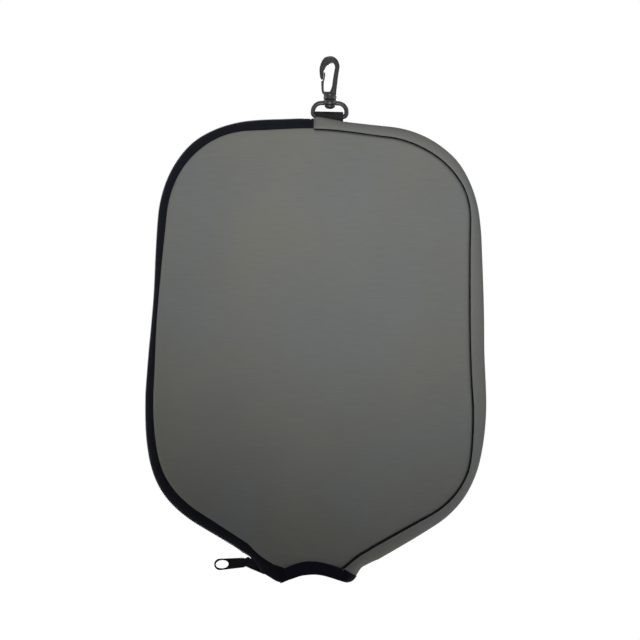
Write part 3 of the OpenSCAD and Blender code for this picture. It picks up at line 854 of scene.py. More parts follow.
@dataclass
class PaddedPanels:
    """The two big padded panels, sewn in round their sides and bound at the mouth."""

    outline: Outline
    cell: float = 4 * MM
    roll: float = 3.2 * MM
    low_roll: float = 12 * MM
    low_from: float = -0.20
    low_to: float = -0.29
    tucked: float = 0.28
    crown: float = 2.6 * MM
    bound: float = 9 * MM
    edge_gap: float = 0.95 * MM
    seam_gap: float = 0.3 * MM
    rings: tuple[float, ...] = (0.3 * MM, 0.7 * MM, 1.2 * MM, 1.8 * MM, 2.6 * MM, 3.5 * MM, 4.5 * MM)
    wave: float = 0.22 * MM
    pucker: float = 0.12 * MM
    pad_half: float = 4 * MM
    voxel: float = 5 * MM
    sewn_w: float = 5 * MM
    pressure: float = 4
    frames: int = 20
    slowest: float = 0.3

    def __post_init__(self) -> None:
        """Takes the levels of the cloth from the frame, and measures the seams."""
        self.face, self.lining = panel_levels()
        o = self.outline
        self.seam: list[Vector] = []
        for s in [*o.zip_run(), *o.gusset_run()[1:]]:
            point = s.seam + s.inward * self.seam_gap
            if not self.seam or (point - self.seam[-1]).length > 0.5 * MM:
                self.seam.append(point)
        self.mouth = o.moved(o.mouth_run(), -self.edge_gap)
        self.from_seam = nearness(self.seam)
        self.from_mouth = nearness(self.mouth)

    def inset(self, k: int) -> Vector:
        """Which way, and how fast, a point of the seam moves in: square to it, and slower near the mouth."""
        row = [self.mouth[-1], *self.seam, self.mouth[0]]
        along = (row[k + 2] - row[k]).normalized()
        spare = min((self.seam[k] - self.seam[end]).length for end in (0, -1))
        pace = self.slowest + (1 - self.slowest) * smooth((spare - 4 * MM) / (10 * MM))
        return Vector((along.z, 0, -along.x)) * pace

    def slab(self, low: float, high: float, rings: Sequence[float] = ()) -> bmesh.types.BMesh:
        """A slab in the shape of a panel.

        Args:
            low: How far forward its inner face is.
            high: How far forward its outer face is.
            rings: How far in from the seams the outer face has rings of vertices.

        Returns:
            The slab. The layer "outer" marks its outer face.
        """
        bm = bmesh.new()
        outer = bm.faces.layers.int.new("outer")
        loop = [bm.verts.new(p + FORWARD * low) for p in (*self.seam, *self.mouth)]
        edges = [bm.edges.new(pair) for pair in zip(loop, loop[1:] + loop[:1])]
        bm.faces.new(loop)
        made = bmesh.ops.extrude_edge_only(bm, edges=edges)["geom"]
        raised = [g for g in made if isinstance(g, bmesh.types.BMVert)]
        bmesh.ops.translate(bm, vec=FORWARD * (high - low), verts=raised)
        base = set(loop)
        pace = {}
        for k, vert in enumerate(loop[:len(self.seam)]):
            above = next(e.other_vert(vert) for e in vert.link_edges if e.other_vert(vert) not in base)
            pace[above] = self.inset(k)
        ring = [e for e in bm.edges if all(v in pace for v in e.verts)]
        before = 0.0
        for reach in rings:
            made = bmesh.ops.extrude_edge_only(bm, edges=ring)["geom"]
            fresh = {}
            for vert in (g for g in made if isinstance(g, bmesh.types.BMVert)):
                others = (e.other_vert(vert) for e in vert.link_edges)
                fresh[vert] = next(pace[other] for other in others if other in pace)
                vert.co += fresh[vert] * (reach - before)
            ring = [g for g in made if isinstance(g, bmesh.types.BMEdge) and all(v in fresh for v in g.verts)]
            pace, before = fresh, reach
        cap = bmesh.ops.contextual_create(bm, geom=[e for e in bm.edges if e.is_boundary])["faces"]
        for face in cap:
            face[outer] = 1
        return bm

    def swelling(self) -> Callable[[Vector], float]:
        """How far the padding swells the cloth at each place.

        The pad is blown up by Cloth's pressure, held at its seams, and its lift is measured.

        Returns:
            A function from a point of the panel to how far the cloth stands forward of it.
        """
        edge = lambda p: min(self.from_seam(p), self.from_mouth(p) - self.bound)
        bm = self.slab(-self.pad_half, self.pad_half)
        mesh = bpy.data.meshes.new("pad")
        bmesh.ops.recalc_face_normals(bm, faces=bm.faces)
        bm.to_mesh(mesh)
        bm.free()
        pad = bpy.data.objects.new("pad", mesh)
        bpy.context.scene.collection.objects.link(pad)
        remesh = pad.modifiers.new("remesh", "REMESH")
        remesh.mode, remesh.voxel_size = "VOXEL", self.voxel
        bpy.context.view_layer.update()
        pad.data = bpy.data.meshes.new_from_object(pad.evaluated_get(bpy.context.evaluated_depsgraph_get()))
        pad.modifiers.clear()
        sewn = pad.vertex_groups.new(name="sewn")
        sewn.add([v.index for v in pad.data.vertices if edge(v.co) < self.sewn_w], 1.0, "REPLACE")
        cloth = pad.modifiers.new("cloth", "CLOTH")
        cloth.settings.vertex_group_mass = sewn.name
        cloth.settings.use_pressure = True
        cloth.settings.uniform_pressure_force = self.pressure
        cloth.settings.effector_weights.gravity = 0
        cloth.collision_settings.use_collision = False
        scene = bpy.context.scene
        for number in range(1, self.frames + 1):
            scene.frame_set(number)
        skin = BVHTree.FromObject(pad, bpy.context.evaluated_depsgraph_get())
        scene.frame_set(1)
        bpy.data.objects.remove(pad)

        def lift(p: Vector) -> float:
            """Lift of the blown-up pad over a point, held back softly below the panel's crown."""
            hit = skin.ray_cast(Vector((p.x, -1, p.z)), -FORWARD)[0]
            rise = max(0.0, -hit.y - self.pad_half) if hit else 0.0
            return self.crown * math.tanh(rise / self.crown) * smooth(edge(p) / (12 * MM))

        return lift

    def height(self, p: Vector, lift: float, seed: float) -> float:
        """How far forward the outer skin of a panel lies at a point."""
        d = self.from_seam(p)
        low = smooth((self.low_from - p.z) / (self.low_from - self.low_to))
        t = min(1.0, d / (self.roll + (self.low_roll - self.roll) * low))
        thick = self.tucked + (1 - self.tucked) * math.sqrt(1 - (1 - t) ** 2)
        where = Vector((p.x, seed, p.z))
        waves = self.wave * noise.noise(where * 22) * smooth(d / (25 * MM))
        pucker = self.pucker * noise.noise(where * 110) * math.exp(-d / (6 * MM))
        free = smooth((self.from_mouth(p) - self.bound) / (20 * MM))
        return self.lining + thick * (self.face - self.lining) + lift + (waves + pucker) * free

    def skin(self, side: Side, lift: Callable[[Vector], float]) -> bmesh.types.BMesh:
        """One panel, its outer face ringed at the seam, cut into cells and raised to its height."""
        bm = self.slab(self.lining, self.lining + self.tucked * (self.face - self.lining), self.rings)
        outer = bm.faces.layers.int["outer"]
        low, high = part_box("front_panel")
        for axis in (0, 2):
            for k in range(1, int((high[axis] - low[axis]) / self.cell)):
                plane = Vector((0, 0, 0))
                normal = Vector((0, 0, 0))
                plane[axis], normal[axis] = low[axis] + k * self.cell, 1
                faces = [f for f in bm.faces if f[outer]]
                geom = set(faces) | {e for f in faces for e in f.edges} | {v for f in faces for v in f.verts}
                bmesh.ops.bisect_plane(bm, geom=list(geom), dist=1e-6, plane_co=plane, plane_no=normal)
        base = -self.lining - 0.1 * MM
        for vert in bm.verts:
            if vert.co.y < base:
                vert.co.y = -self.height(vert.co, lift(vert.co), 3.0 * side.value)
        return placed(bm, side.turn)

    def build(self) -> None:
        """Makes both panels."""
        lift = self.swelling()
        for side in Side:
            node = f"{side.word}_panel"
            piece = finished(self.skin(side, lift), f"{node}_pad", PANEL_CLOTH, "case", node, crease=70)


@dataclass
class Gusset:
    """The padded strip that joins the panels on one side, from the zip's start to the right tip."""

    outline: Outline
    thick: float = 3 * MM
    groove: float = 0.3 * MM
    reach: float = 80
    slit: float = 3.5 * MM
    slit_clear: float = 0.9 * MM
    lip: float = 1.7 * MM
    end_reach: float = 8.6 * MM
    # The seam cords: dark cords in the grooves at the seams, whose colour is painted shade of the grooves.
    shade_cord_stop: float = 7 * MM
    shade_cord_half: Sequence[float] = (0.62 * MM, 0.45 * MM)
    shade_cord_sunk: float = 1.15 * MM
    wave: float = 0.16 * MM
    broad_wave: float = 0.2 * MM
    hem_proud: float = 0.35 * MM
    hem_gap: float = 0.05 * MM

    def __post_init__(self) -> None:
        """Takes the depth of the case and the place of the webbing from the frame."""
        self.face, self.lining = panel_levels()
        low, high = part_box("hook_webbing")
        self.slot_x = low.x - self.slit_clear, high.x + self.slit_clear

    def arc(self, rim: float, half: float, angles: Iterable[float]) -> list[tuple[float, float]]:
        """Points of the bulge at angles from its middle, in degrees."""
        return [(-self.outline.seam_in + rim * math.cos(math.radians(a)), half * math.sin(math.radians(a)))
                for a in angles]

    def section(self, grow: float = 0.0) -> list[tuple[float, float]]:
        """The gusset's section: its bulge, its rounded ends in the seams, and its lining."""
        half = self.face - self.groove
        inner = self.lining - self.groove
        gap = math.degrees(math.asin(self.slit / half))
        outer_at = [-self.reach, -70, -60, -50, -41, -32, -gap, -14, -7,
                    0, 7, 14, gap, 32, 41, 50, 60, 70, self.reach]
        gap = math.degrees(math.asin(self.slit / inner))
        inner_at = [78, 66, 50, gap, 16, 0, -16, -gap, -50, -66, -78]
        rim = self.outline.seam_in
        end = [(-5.4 * MM, 9.15 * MM), (-5.75 * MM, 8.6 * MM), (-6.6 * MM, 8.1 * MM), (-6.5 * MM, 7.1 * MM)]
        start = [(u, -w) for u, w in reversed(end)]
        return (self.arc(rim + grow, half + grow, outer_at) + end
                + self.arc(rim - self.thick, inner, inner_at) + start)

    def raised(self, at: Vector) -> float:
        """How far the lips of the slit are pushed up by the webbing."""
        left, right = self.slot_x
        along = (at.x - left) / (right - left)
        slope = smooth((at.x - left + 1.0 * MM) / (1.2 * MM)) * max(0.0, 1 - 0.9 * along)
        return self.lip * slope * smooth((right + 9 * MM - at.x) / (9 * MM))

    def strip(self) -> bmesh.types.BMesh:
        """The strip with its slit, its lips raised round the webbing, and its seams drawn in."""
        run = self.outline.gusset_run()
        bm = carried(self.section(), stretched(run, self.outline.seam_in))
        along = bm.verts.layers.float["along"]
        left, right = self.slot_x
        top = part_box("side_gusset")[1].z - 12 * MM
        inside = [f for f in bm.faces if f.calc_center_median().z > top
                  and left < f.calc_center_median().x < right
                  and abs(f.calc_center_median().y) < self.slit - 0.05 * MM]
        bmesh.ops.delete(bm, geom=inside, context="FACES")
        bmesh.ops.bridge_loops(bm, edges=[e for e in bm.edges if e.is_boundary])
        for vert in bm.verts:
            station = at_mark(run, vert[along])
            depth = abs(vert.co.y)
            near = smooth((depth - 5 * MM) / (4 * MM))
            wave = noise.noise(Vector((vert[along] * 95, vert.co.y * 60, 7)))
            broad = noise.noise(Vector((vert[along] * 24, 2, vert.co.y * 30)))
            vert.co += station.out * (self.wave * wave * near + self.broad_wave * broad * (1 - near))
            if vert.co.z > top:
                vert.co += station.out * self.raised(vert.co) * smooth((8.5 * MM - depth) / (5 * MM))
        bmesh.ops.recalc_face_normals(bm, faces=bm.faces)
        return bm

    def seam_shade_cord(self, side: Side) -> bmesh.types.BMesh:
        """A dark cord at the bottom of the groove between the gusset and a panel: it stands for the seam
        thread, and its dark colour, widened down the run, is painted shade of the groove.
        """
        (wide, high), low = self.shade_cord_half, self.face - self.shade_cord_sunk
        ring = [(wide * u, low + high * w) for u, w in circle(1, 8)]
        run = self.outline.gusset_run()
        # The cord grows wider further down the run, so that its dark colour paints the groove's shade wider
        # there.
        run = [replace(s, at=s.seam - s.inward * 0.1 * MM,
                       out=s.out * (0.7 + 0.6 * smooth((s.mark - 0.2) / 0.15)))
               for s in run if s.mark < run[-1].mark - self.shade_cord_stop]
        return placed(carried(ring, run), side.turn)

    def build(self) -> None:
        """Makes the gusset, the dark seam cords that paint the shade of its grooves, and the hem at its end."""
        finished(self.strip(), "side_gusset_strip", GUSSET_CLOTH, "case", "side_gusset", crease=75)
        for side in Side:
            # Dark cords in the grooves at both seams: painted shade of the grooves, drawn as seam thread.
            finished(self.seam_shade_cord(side), f"{side.word}_gusset_seam_shade", THREAD_AND_SEAM_SHADE, "case")
        run = self.outline.gusset_run()
        hem_run = marked([at_mark(run, -0.05 * MM + k * 0.5 * MM) for k in range(4)], 1 * MM)
        angles = [-80 + 10 * k for k in range(17)]
        rim, half = self.outline.seam_in, self.face - self.groove
        ring = self.arc(rim + self.hem_proud, half + self.hem_proud, angles)
        ring += self.arc(rim + self.hem_gap, half + self.hem_gap, reversed(angles))
        finished(carried(ring, stretched(hem_run, rim)), "gusset_hem", HEM_CLOTH, "case", "zip_end_tab")


@dataclass
class Bindings:
    """Folded tape round the mouth, over the end of the gusset, and over the seams inside."""

    outline: Outline
    wide: float = 8 * MM
    thick: float = 0.9 * MM
    narrow: float = 1 * MM
    tape_w: float = 6 * MM
    tape_t: float = 1.2 * MM
    stitch: float = 2.6 * MM
    end_reach: float = 8 * MM
    ripple: float = 0.05 * MM
    slack: float = 0.16 * MM

    def __post_init__(self) -> None:
        """Takes the levels of the cloth from the frame."""
        self.face, self.lining = panel_levels()

    def fold(self) -> list[tuple[float, float]]:
        """Section of the binding: a tape folded round the edge of a panel."""
        top, low = self.face + self.thick, self.lining - self.thick
        over, under = self.face + 0.05 * MM, self.lining - 0.05 * MM
        w, n = -self.wide, self.narrow - self.wide
        inner = [(n, low + 0.15 * MM), (n + 0.3 * MM, low), (-3 * MM, low), (-1.2 * MM, low)]
        turn = [(-0.35 * MM, low + 0.25 * MM), (-0.05 * MM, low + 0.9 * MM), (0, low + 2 * MM),
                (0, top - 2 * MM), (-0.1 * MM, top - 1.1 * MM), (-0.5 * MM, top - 0.4 * MM),
                (-1.3 * MM, top - 0.06 * MM)]
        outer = [(-3 * MM, top), (-5 * MM, top), (w + 1.4 * MM, top - 0.05 * MM),
                 (w + 0.4 * MM, top - 0.1 * MM), (w, top - 0.4 * MM), (w, over)]
        against_cloth = [(-4 * MM, over), (-self.thick, over), (-self.thick, under), (-4 * MM, under),
                         (n, under)]
        return inner + turn + outer + against_cloth

    def binding(self, side: Side) -> bmesh.types.BMesh:
        """The binding of one panel's mouth, slightly puckered by its stitches."""
        bm = carried(self.fold(), stretched(self.outline.mouth_run(), self.wide))
        along = bm.verts.layers.float["along"]
        for vert in bm.verts:
            depth = -vert.co.y
            if depth > self.face + 0.2 * MM:
                ripple = math.sin(vert[along] / self.stitch * 2 * math.pi)
                slack = noise.noise(Vector((vert[along] * 130, 4.0 * side.value, 0)))
                vert.co.y -= self.ripple * ripple + self.slack * slack
        return placed(bm, side.turn)

    def stitch_shape(self) -> bmesh.types.BMesh:
        """One stitch: a short thread that dips into the cloth at both ends. X is along it and Z is up."""
        r, half = 0.17 * MM, self.stitch * 0.42
        arch = [(-1.0, -0.25, 0.6), (-0.8, 0.05, 1.0), (0.0, 0.14, 1.1), (0.8, 0.05, 1.0), (1.0, -0.25, 0.6)]
        run = [Station(Vector((x * half, 0, z * MM)), Vector((0, 0, size)), Vector((0, size, 0)))
               for x, z, size in arch]
        return carried(circle(r, 6), run)

    def stitches(self, run: Run, out: float, level: float, side: Side,
                 ends: float = 3 * MM) -> bmesh.types.BMesh:
        """A row of stitches along a run.

        Args:
            run: What the row follows.
            out: How far outward of the run it lies.
            level: How far forward of the middle of the case it lies.
            side: Which side of the case it is on.
            ends: How far it stops short of the run's ends.

        Returns:
            The row.
        """
        places = []
        mark = ends
        while mark < run[-1].mark - ends:
            s = at_mark(run, mark)
            place = axes(s.along, s.out, FORWARD, s.at + s.out * out + FORWARD * level)
            places.append(side.turn @ place)
            mark += self.stitch
        return scattered(self.stitch_shape(), places)

    def inside_tape(self, side: Side) -> bmesh.types.BMesh:
        """The tape folded over the seams of one panel, lying on the lining."""
        edge = -self.outline.seam_in - 0.4 * MM - self.tape_w / 2
        level = self.lining - 0.05 * MM - self.tape_t / 2
        ring = [(edge + u, level + w) for u, w in rounded(self.tape_w, self.tape_t, 0.5 * MM)]
        left, right = self.outline.zip_run(), self.outline.gusset_run()
        run = [s for s in left if s.mark > self.end_reach]
        run += [s for s in right[1:] if s.mark < right[-1].mark - self.end_reach]
        bm = carried(ring, [replace(s, at=s.seam + s.out * self.outline.seam_in) for s in run[::2]])
        return placed(bm, side.turn)

    def build(self, gusset: Gusset) -> None:
        """Makes the bindings, their stitches and the seam tapes."""
        inner = marked([replace(s, at=s.seam) for s in self.outline.mouth_run()], self.outline.step)
        for side in Side:
            node = f"{side.word}_mouth_binding"
            finished(self.binding(side), f"{node}_tape", BINDING, "case", node)
            row = self.stitches(inner, 1.1 * MM, self.face + self.thick, side)
            finished(row, f"{node}_stitches", THREAD_AND_SEAM_SHADE, "case")
            node = f"{side.word}_seam_tape"
            finished(self.inside_tape(side), f"{node}_fold", BINDING, "case", node)
        run = self.outline.gusset_run()
        end = stretched([s for s in run if s.mark > run[-1].mark - gusset.end_reach], self.outline.seam_in)
        tape = carried(gusset.section(0.3 * MM), end)
        finished(tape, "gusset_end_tape", BINDING, "case", "gusset_end_binding")


# ---- Zip ----


@dataclass
class CoilZip:
    """The zip: two woven tapes, two rows of coil, and the stops at their ends."""

    outline: Outline
    tape_t: float = 0.9 * MM
    coil_w: float = 6 * MM
    coil_t: float = 1.2 * MM
    filament: float = 0.8 * MM
    flat: float = 1.25
    pitch: float = 1.3 * MM
    mesh_over: float = 0.9 * MM
    stop_len: float = 3 * MM
    wedge: float = 1 * MM
    clear: float = 0.15 * MM
    slider_len: float = 11 * MM
    travel: float = 32 * MM
    slant: float = 9
    bed: float = 0.75 * MM

    def __post_init__(self) -> None:
        """Finds where the slider stands on the run, and how deep the seams are."""
        self.run = self.outline.zip_run()
        low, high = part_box("zip_slider")
        middle = (low + high) / 2
        nearest = min(self.run, key=lambda s: Vector((s.at.x - middle.x, s.at.z - middle.z)).length)
        self.slider_mark = nearest.mark
        self.seam_z = sum(panel_levels()) / 2
        self.parted = self.wedge / 2 + self.clear

    def tape_section(self) -> list[tuple[float, float]]:
        """Section of one tape, from the middle of the zip round into the seam and back."""
        under, turn_z = -self.bed, self.coil_w / 2 + 1.2 * MM
        r_u, r_z = self.outline.seam_in + under, self.seam_z - turn_z
        t = self.tape_t
        angles = [math.radians(a) for a in range(0, 91, 9)]
        edge = self.parted + 0.1 * MM
        outer = [(under - 0.05 * MM, edge), (under, edge + 0.3 * MM), (under, 2 * MM), (under, 3.3 * MM)]
        outer += [(under - r_u + r_u * math.cos(a), turn_z + r_z * math.sin(a)) for a in angles]
        inner = [(under - r_u + (r_u - t) * math.cos(a), turn_z + (r_z - t) * math.sin(a))
                 for a in reversed(angles)]
        seam_u = -self.outline.seam_in - 0.6 * MM
        seam = [(seam_u, self.seam_z), (seam_u, self.seam_z - t)]
        return outer + seam + inner + [(under - t, 2 * MM), (under - t, edge + 0.2 * MM)]

    def tape(self, side: Side) -> bmesh.types.BMesh:
        """One tape, gently uneven where it is sewn in."""
        bm = carried(self.tape_section(), stretched(self.run, self.outline.seam_in, self.bed))
        along = bm.verts.layers.float["along"]
        for vert in bm.verts:
            far = smooth((abs(vert.co.y) - 3.4 * MM) / (3 * MM))
            slack = noise.noise(Vector((vert[along] * 85, vert.co.y * 90, 5.0 * side.value)))
            vert.co += at_mark(self.run, vert[along]).out * 0.22 * MM * slack * far
        return placed(bm, side.turn)

    def loop(self, inner: float) -> bmesh.types.BMesh:
        """One loop of the coil, from its swollen head to where it turns down into the tape.

        Args:
            inner: How far from the middle of the zip its head reaches.

        Returns:
            The loop, with X along the zip, Y outward and Z across it.
        """
        r, mid = self.filament / 2, -0.05 * MM - self.filament / 2
        end = self.coil_w / 2
        bow = [(inner, -0.1, 0.55), (inner + 0.18 * MM, 0, 0.95), (inner + 0.55 * MM, 0.02, 1.0),
               (inner + 1.0 * MM, 0, 0.8), (end - 0.9 * MM, 0, 0.8), (end - 0.35 * MM, -0.08, 0.82),
               (end - 0.05 * MM, -0.42, 0.7)]
        run = [Station(Vector((0, mid + drop * MM, z)), Vector((size * self.flat, 0, 0)),
                       Vector((0, size, 0))) for z, drop, size in bow]
        return carried(circle(r, 8), run)

    def frame_at(self, mark: float) -> Matrix:
        """Takes X along the zip, Y outward and Z forward to the cover's frame, at a distance along the zip."""
        s = at_mark(self.run, mark)
        return axes(s.along, s.out, FORWARD, s.at)

    def row(self, side: Side) -> bmesh.types.BMesh:
        """One row of the coil: parted where the slider runs, and meshed with the other row above it."""
        start = self.slider_mark - self.slider_len / 2 + self.stop_len
        start += 0 if side is Side.FRONT else self.pitch / 2
        end = self.run[-1].mark - self.stop_len / 2 - self.filament / 2 - 0.2 * MM
        open_to = self.slider_mark + self.travel + self.slider_len / 2
        marks = [start + k * self.pitch for k in range(int((end - start) / self.pitch) + 1)]
        tilt = Matrix.Rotation(math.radians(self.slant * side.value), 4, "Y")
        parts = []
        for inner, chosen in ((self.parted, [m for m in marks if m <= open_to]),
                              (-self.mesh_over, [m for m in marks if m > open_to])):
            turn = tilt if inner > 0 else Matrix.Identity(4)
            parts.append(scattered(self.loop(inner), [side.turn @ self.frame_at(m) @ turn for m in chosen]))
        return merged(*parts)

    def sewing(self, side: Side, bindings: Bindings) -> bmesh.types.BMesh:
        """The row of thread that holds one row of the coil to its tape."""
        short = replace(bindings, stitch=self.pitch)
        span = self.run[-1].mark - self.slider_mark
        count = int((span - self.slider_len) / self.pitch)
        lift = Matrix.Translation((0, -0.12 * MM, 2.0 * MM)) @ Matrix.Rotation(-math.pi / 2, 4, "X")
        places = [side.turn @ self.frame_at(self.slider_mark + self.slider_len / 2 + k * self.pitch) @ lift
                  for k in range(count)]
        return scattered(short.stitch_shape(), places)

    def stop(self, mark: float, length: float, low: float, high: float) -> bmesh.types.BMesh:
        """A stop pressed over the zip, rounded at its edges."""
        bm = block((length, self.coil_t - 0.1 * MM, high - low), 0.3 * MM)
        middle = Matrix.Translation((0, -self.coil_t / 2, (low + high) / 2))
        bmesh.ops.transform(bm, matrix=self.frame_at(mark) @ middle, verts=bm.verts)
        return bm

    def build(self, bindings: Bindings) -> None:
        """Makes the tapes, the coil, its sewing and the stops."""
        top = (self.slider_mark - self.slider_len / 2 + self.stop_len - self.filament / 2 - self.stop_len / 2
               - 0.1 * MM)
        for side in Side:
            word = side.word
            finished(self.tape(side), f"{word}_zip_tape_weave", ZIP_TAPE, "case", f"{word}_zip_tape")
            finished(self.row(side), f"{word}_coil_row", COIL, "case", f"{word}_zip_coil")
            finished(self.sewing(side, bindings), f"{word}_coil_sewing", THREAD_AND_SEAM_SHADE, "case")
            clip = self.stop(top, self.stop_len, self.parted, self.coil_w / 2)
            finished(placed(clip, side.turn), f"{word}_top_clip", STOP_METAL, "case", f"{word}_top_stop")
        low_end = self.run[-1].mark - 0.1 * MM - self.stop_len / 4
        last = self.stop(low_end, self.stop_len / 2, -self.coil_w / 2, self.coil_w / 2)
        finished(last, "bottom_clip", STOP_METAL, "case", "zip_bottom_stop")


# ---- Slider and pull ----


@dataclass
class SliderAndPull:
    """The enamelled slider, its pin and its pull. The slider reaches further to the mouth than up the zip."""

    outline: Outline
    length: float = 11 * MM
    plate_t: float = 1.1 * MM
    clear: float = 0.15 * MM
    coil_w: float = 6 * MM
    coil_t: float = 1.2 * MM
    tape_t: float = 0.9 * MM
    wedge: float = 1 * MM
    pin_lift: float = 3.6 * MM
    pin_d: float = 1.5 * MM
    shift: float = 4 * MM
    pull_w: float = 7.3 * MM
    pull_neck: float = 6.2 * MM
    pull_rim: float = 1.05 * MM
    pull_hole: float = 8.1 * MM
    pull_spare: float = 1.2 * MM
    pull_tilt: float = 5.6

    def __post_init__(self) -> None:
        """Takes the pin's place and the pull's length from the frame, and the way that the slider points."""
        low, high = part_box("pull_pin")
        self.pin = (low + high) / 2
        corners = self.outline.corners()
        along = corners[4] - corners[5]
        self.along = Vector((-along.x, 0, along.y)).normalized()
        self.up = Vector((-self.along.z, 0, self.along.x))
        self.middle = self.pin - self.up * self.pin_lift

    def place(self) -> Matrix:
        """Takes X along the zip, Y outward and Z forward to the cover's frame, from the slider's middle."""
        return axes(self.along, self.up, FORWARD, self.middle)

    def body(self) -> bmesh.types.BMesh:
        """Two plates with flanged edges, the wedge between them, and the lugs that hold the pin."""
        rail = self.coil_w / 2 + self.clear
        half = self.length / 2
        plan = belt([(-half + 2 * MM, -rail + 0.55 * MM, 2 * MM),
                     (half - 1.7 * MM, -rail + 0.75 * MM, 1.7 * MM),
                     (half - 1.7 * MM, rail - 0.75 * MM, 1.7 * MM),
                     (-half + 2 * MM, rail - 0.55 * MM, 2 * MM)])
        over, under = self.clear, -self.coil_t - self.tape_t - self.clear
        stand = Matrix.Rotation(-math.pi / 2, 4, "X")
        parts = []
        for low, high in ((over, over + self.plate_t), (under - self.plate_t, under)):
            shape = plate(plan, low, high, 0.35 * MM)
            bmesh.ops.transform(shape, matrix=stand, verts=shape.verts)
            parts.append(shape)
        wedge = plate(belt([(-half + 1.2 * MM, 0, self.wedge / 2), (-0.6 * MM, 0, self.wedge / 2)]),
                      under - 0.5 * MM, over + 0.5 * MM, 0.1 * MM)
        bmesh.ops.transform(wedge, matrix=stand, verts=wedge.verts)
        parts.append(wedge)
        high, low = over + self.plate_t, -self.coil_t + self.clear
        size = (self.length - 4.5 * MM, high - low - 0.3 * MM, 1.1 * MM)
        for way in (1, -1):
            parts.append(block(size, 0.35 * MM, (0, (high + low) / 2 - 0.1 * MM, way * (rail + 0.62 * MM))))
        for part in parts:
            bmesh.ops.translate(part, vec=(-self.shift, 0, 0), verts=part.verts)
        foot = over + self.plate_t - 0.1 * MM
        cheek = belt([(-13.4 * MM, foot + 0.3 * MM, 0.7 * MM), (0.9 * MM, foot, 0.7 * MM),
                      (0, self.pin_lift, 2.6 * MM), (-4.0 * MM, 4.4 * MM, 1.3 * MM),
                      (-8.4 * MM, 3.9 * MM, 1.0 * MM), (-12.8 * MM, 3.3 * MM, 0.9 * MM)])
        for way in (1, -1):
            lug = plate(cheek, -0.5 * MM, 0.5 * MM, 0.25 * MM)
            bmesh.ops.translate(lug, vec=(0, 0, way * 1.45 * MM), verts=lug.verts)
            parts.append(lug)
        return placed(merged(*parts), self.place())

    def pull(self) -> bmesh.types.BMesh:
        """The pull: a flat tag with a long eye, its rim thicker than its middle."""
        low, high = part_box("zip_pull")
        length = self.pin.x - low.x - self.pull_spare
        end = self.pull_w / 2 - length
        root = self.pin_lift - self.clear - self.plate_t - 0.2 * MM
        middle = self.pull_rim + self.pull_hole / 2 - length
        wide, high_half = self.pull_hole / 2, self.pull_w / 2 - self.pull_rim
        hole = [(middle + wide * u, high_half * w) for u, w in circle(1, 40)]
        neck = self.pull_neck / 2 - 1.2 * MM
        outline = belt([(end, 0, self.pull_w / 2), (-2.6 * MM, -neck, 1.2 * MM), (0, 0, root),
                        (-2.6 * MM, neck, 1.2 * MM)], 12)
        half = (high.y - low.y) / 2
        tag = plate(outline, -half, half, 0.4 * MM, hole)
        stand = Matrix.Translation(self.pin) @ Matrix.Rotation(math.pi / 2, 4, "X")
        return placed(tag, stand @ Matrix.Rotation(math.radians(self.pull_tilt), 4, "Z"))

    def pin_shape(self) -> bmesh.types.BMesh:
        """The pin, its two ends peened into low domes."""
        low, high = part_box("pull_pin")
        half, r = (high.y - low.y) / 2, self.pin_d / 2
        line = [(0, -half), (r * 0.7, -half), (r, -half + 0.2 * MM), (r, half - 0.2 * MM),
                (r * 0.7, half), (0, half)]
        stand = Matrix.Translation(self.pin) @ Matrix.Rotation(math.pi / 2, 4, "X")
        return placed(turned_shape(line, 16), stand)

    def build(self) -> None:
        """Makes the slider, the pin and the pull."""
        finished(self.body(), "slider_casting", SLIDER_ENAMEL, "slider", "zip_slider", crease=40)
        finished(self.pin_shape(), "pull_pin_shaft", SLIDER_ENAMEL, "slider", "pull_pin", crease=40)
        finished(self.pull(), "pull_tag", SLIDER_ENAMEL, "pull", "zip_pull", crease=40)


# ---- Hook, gate, ring and webbing ----


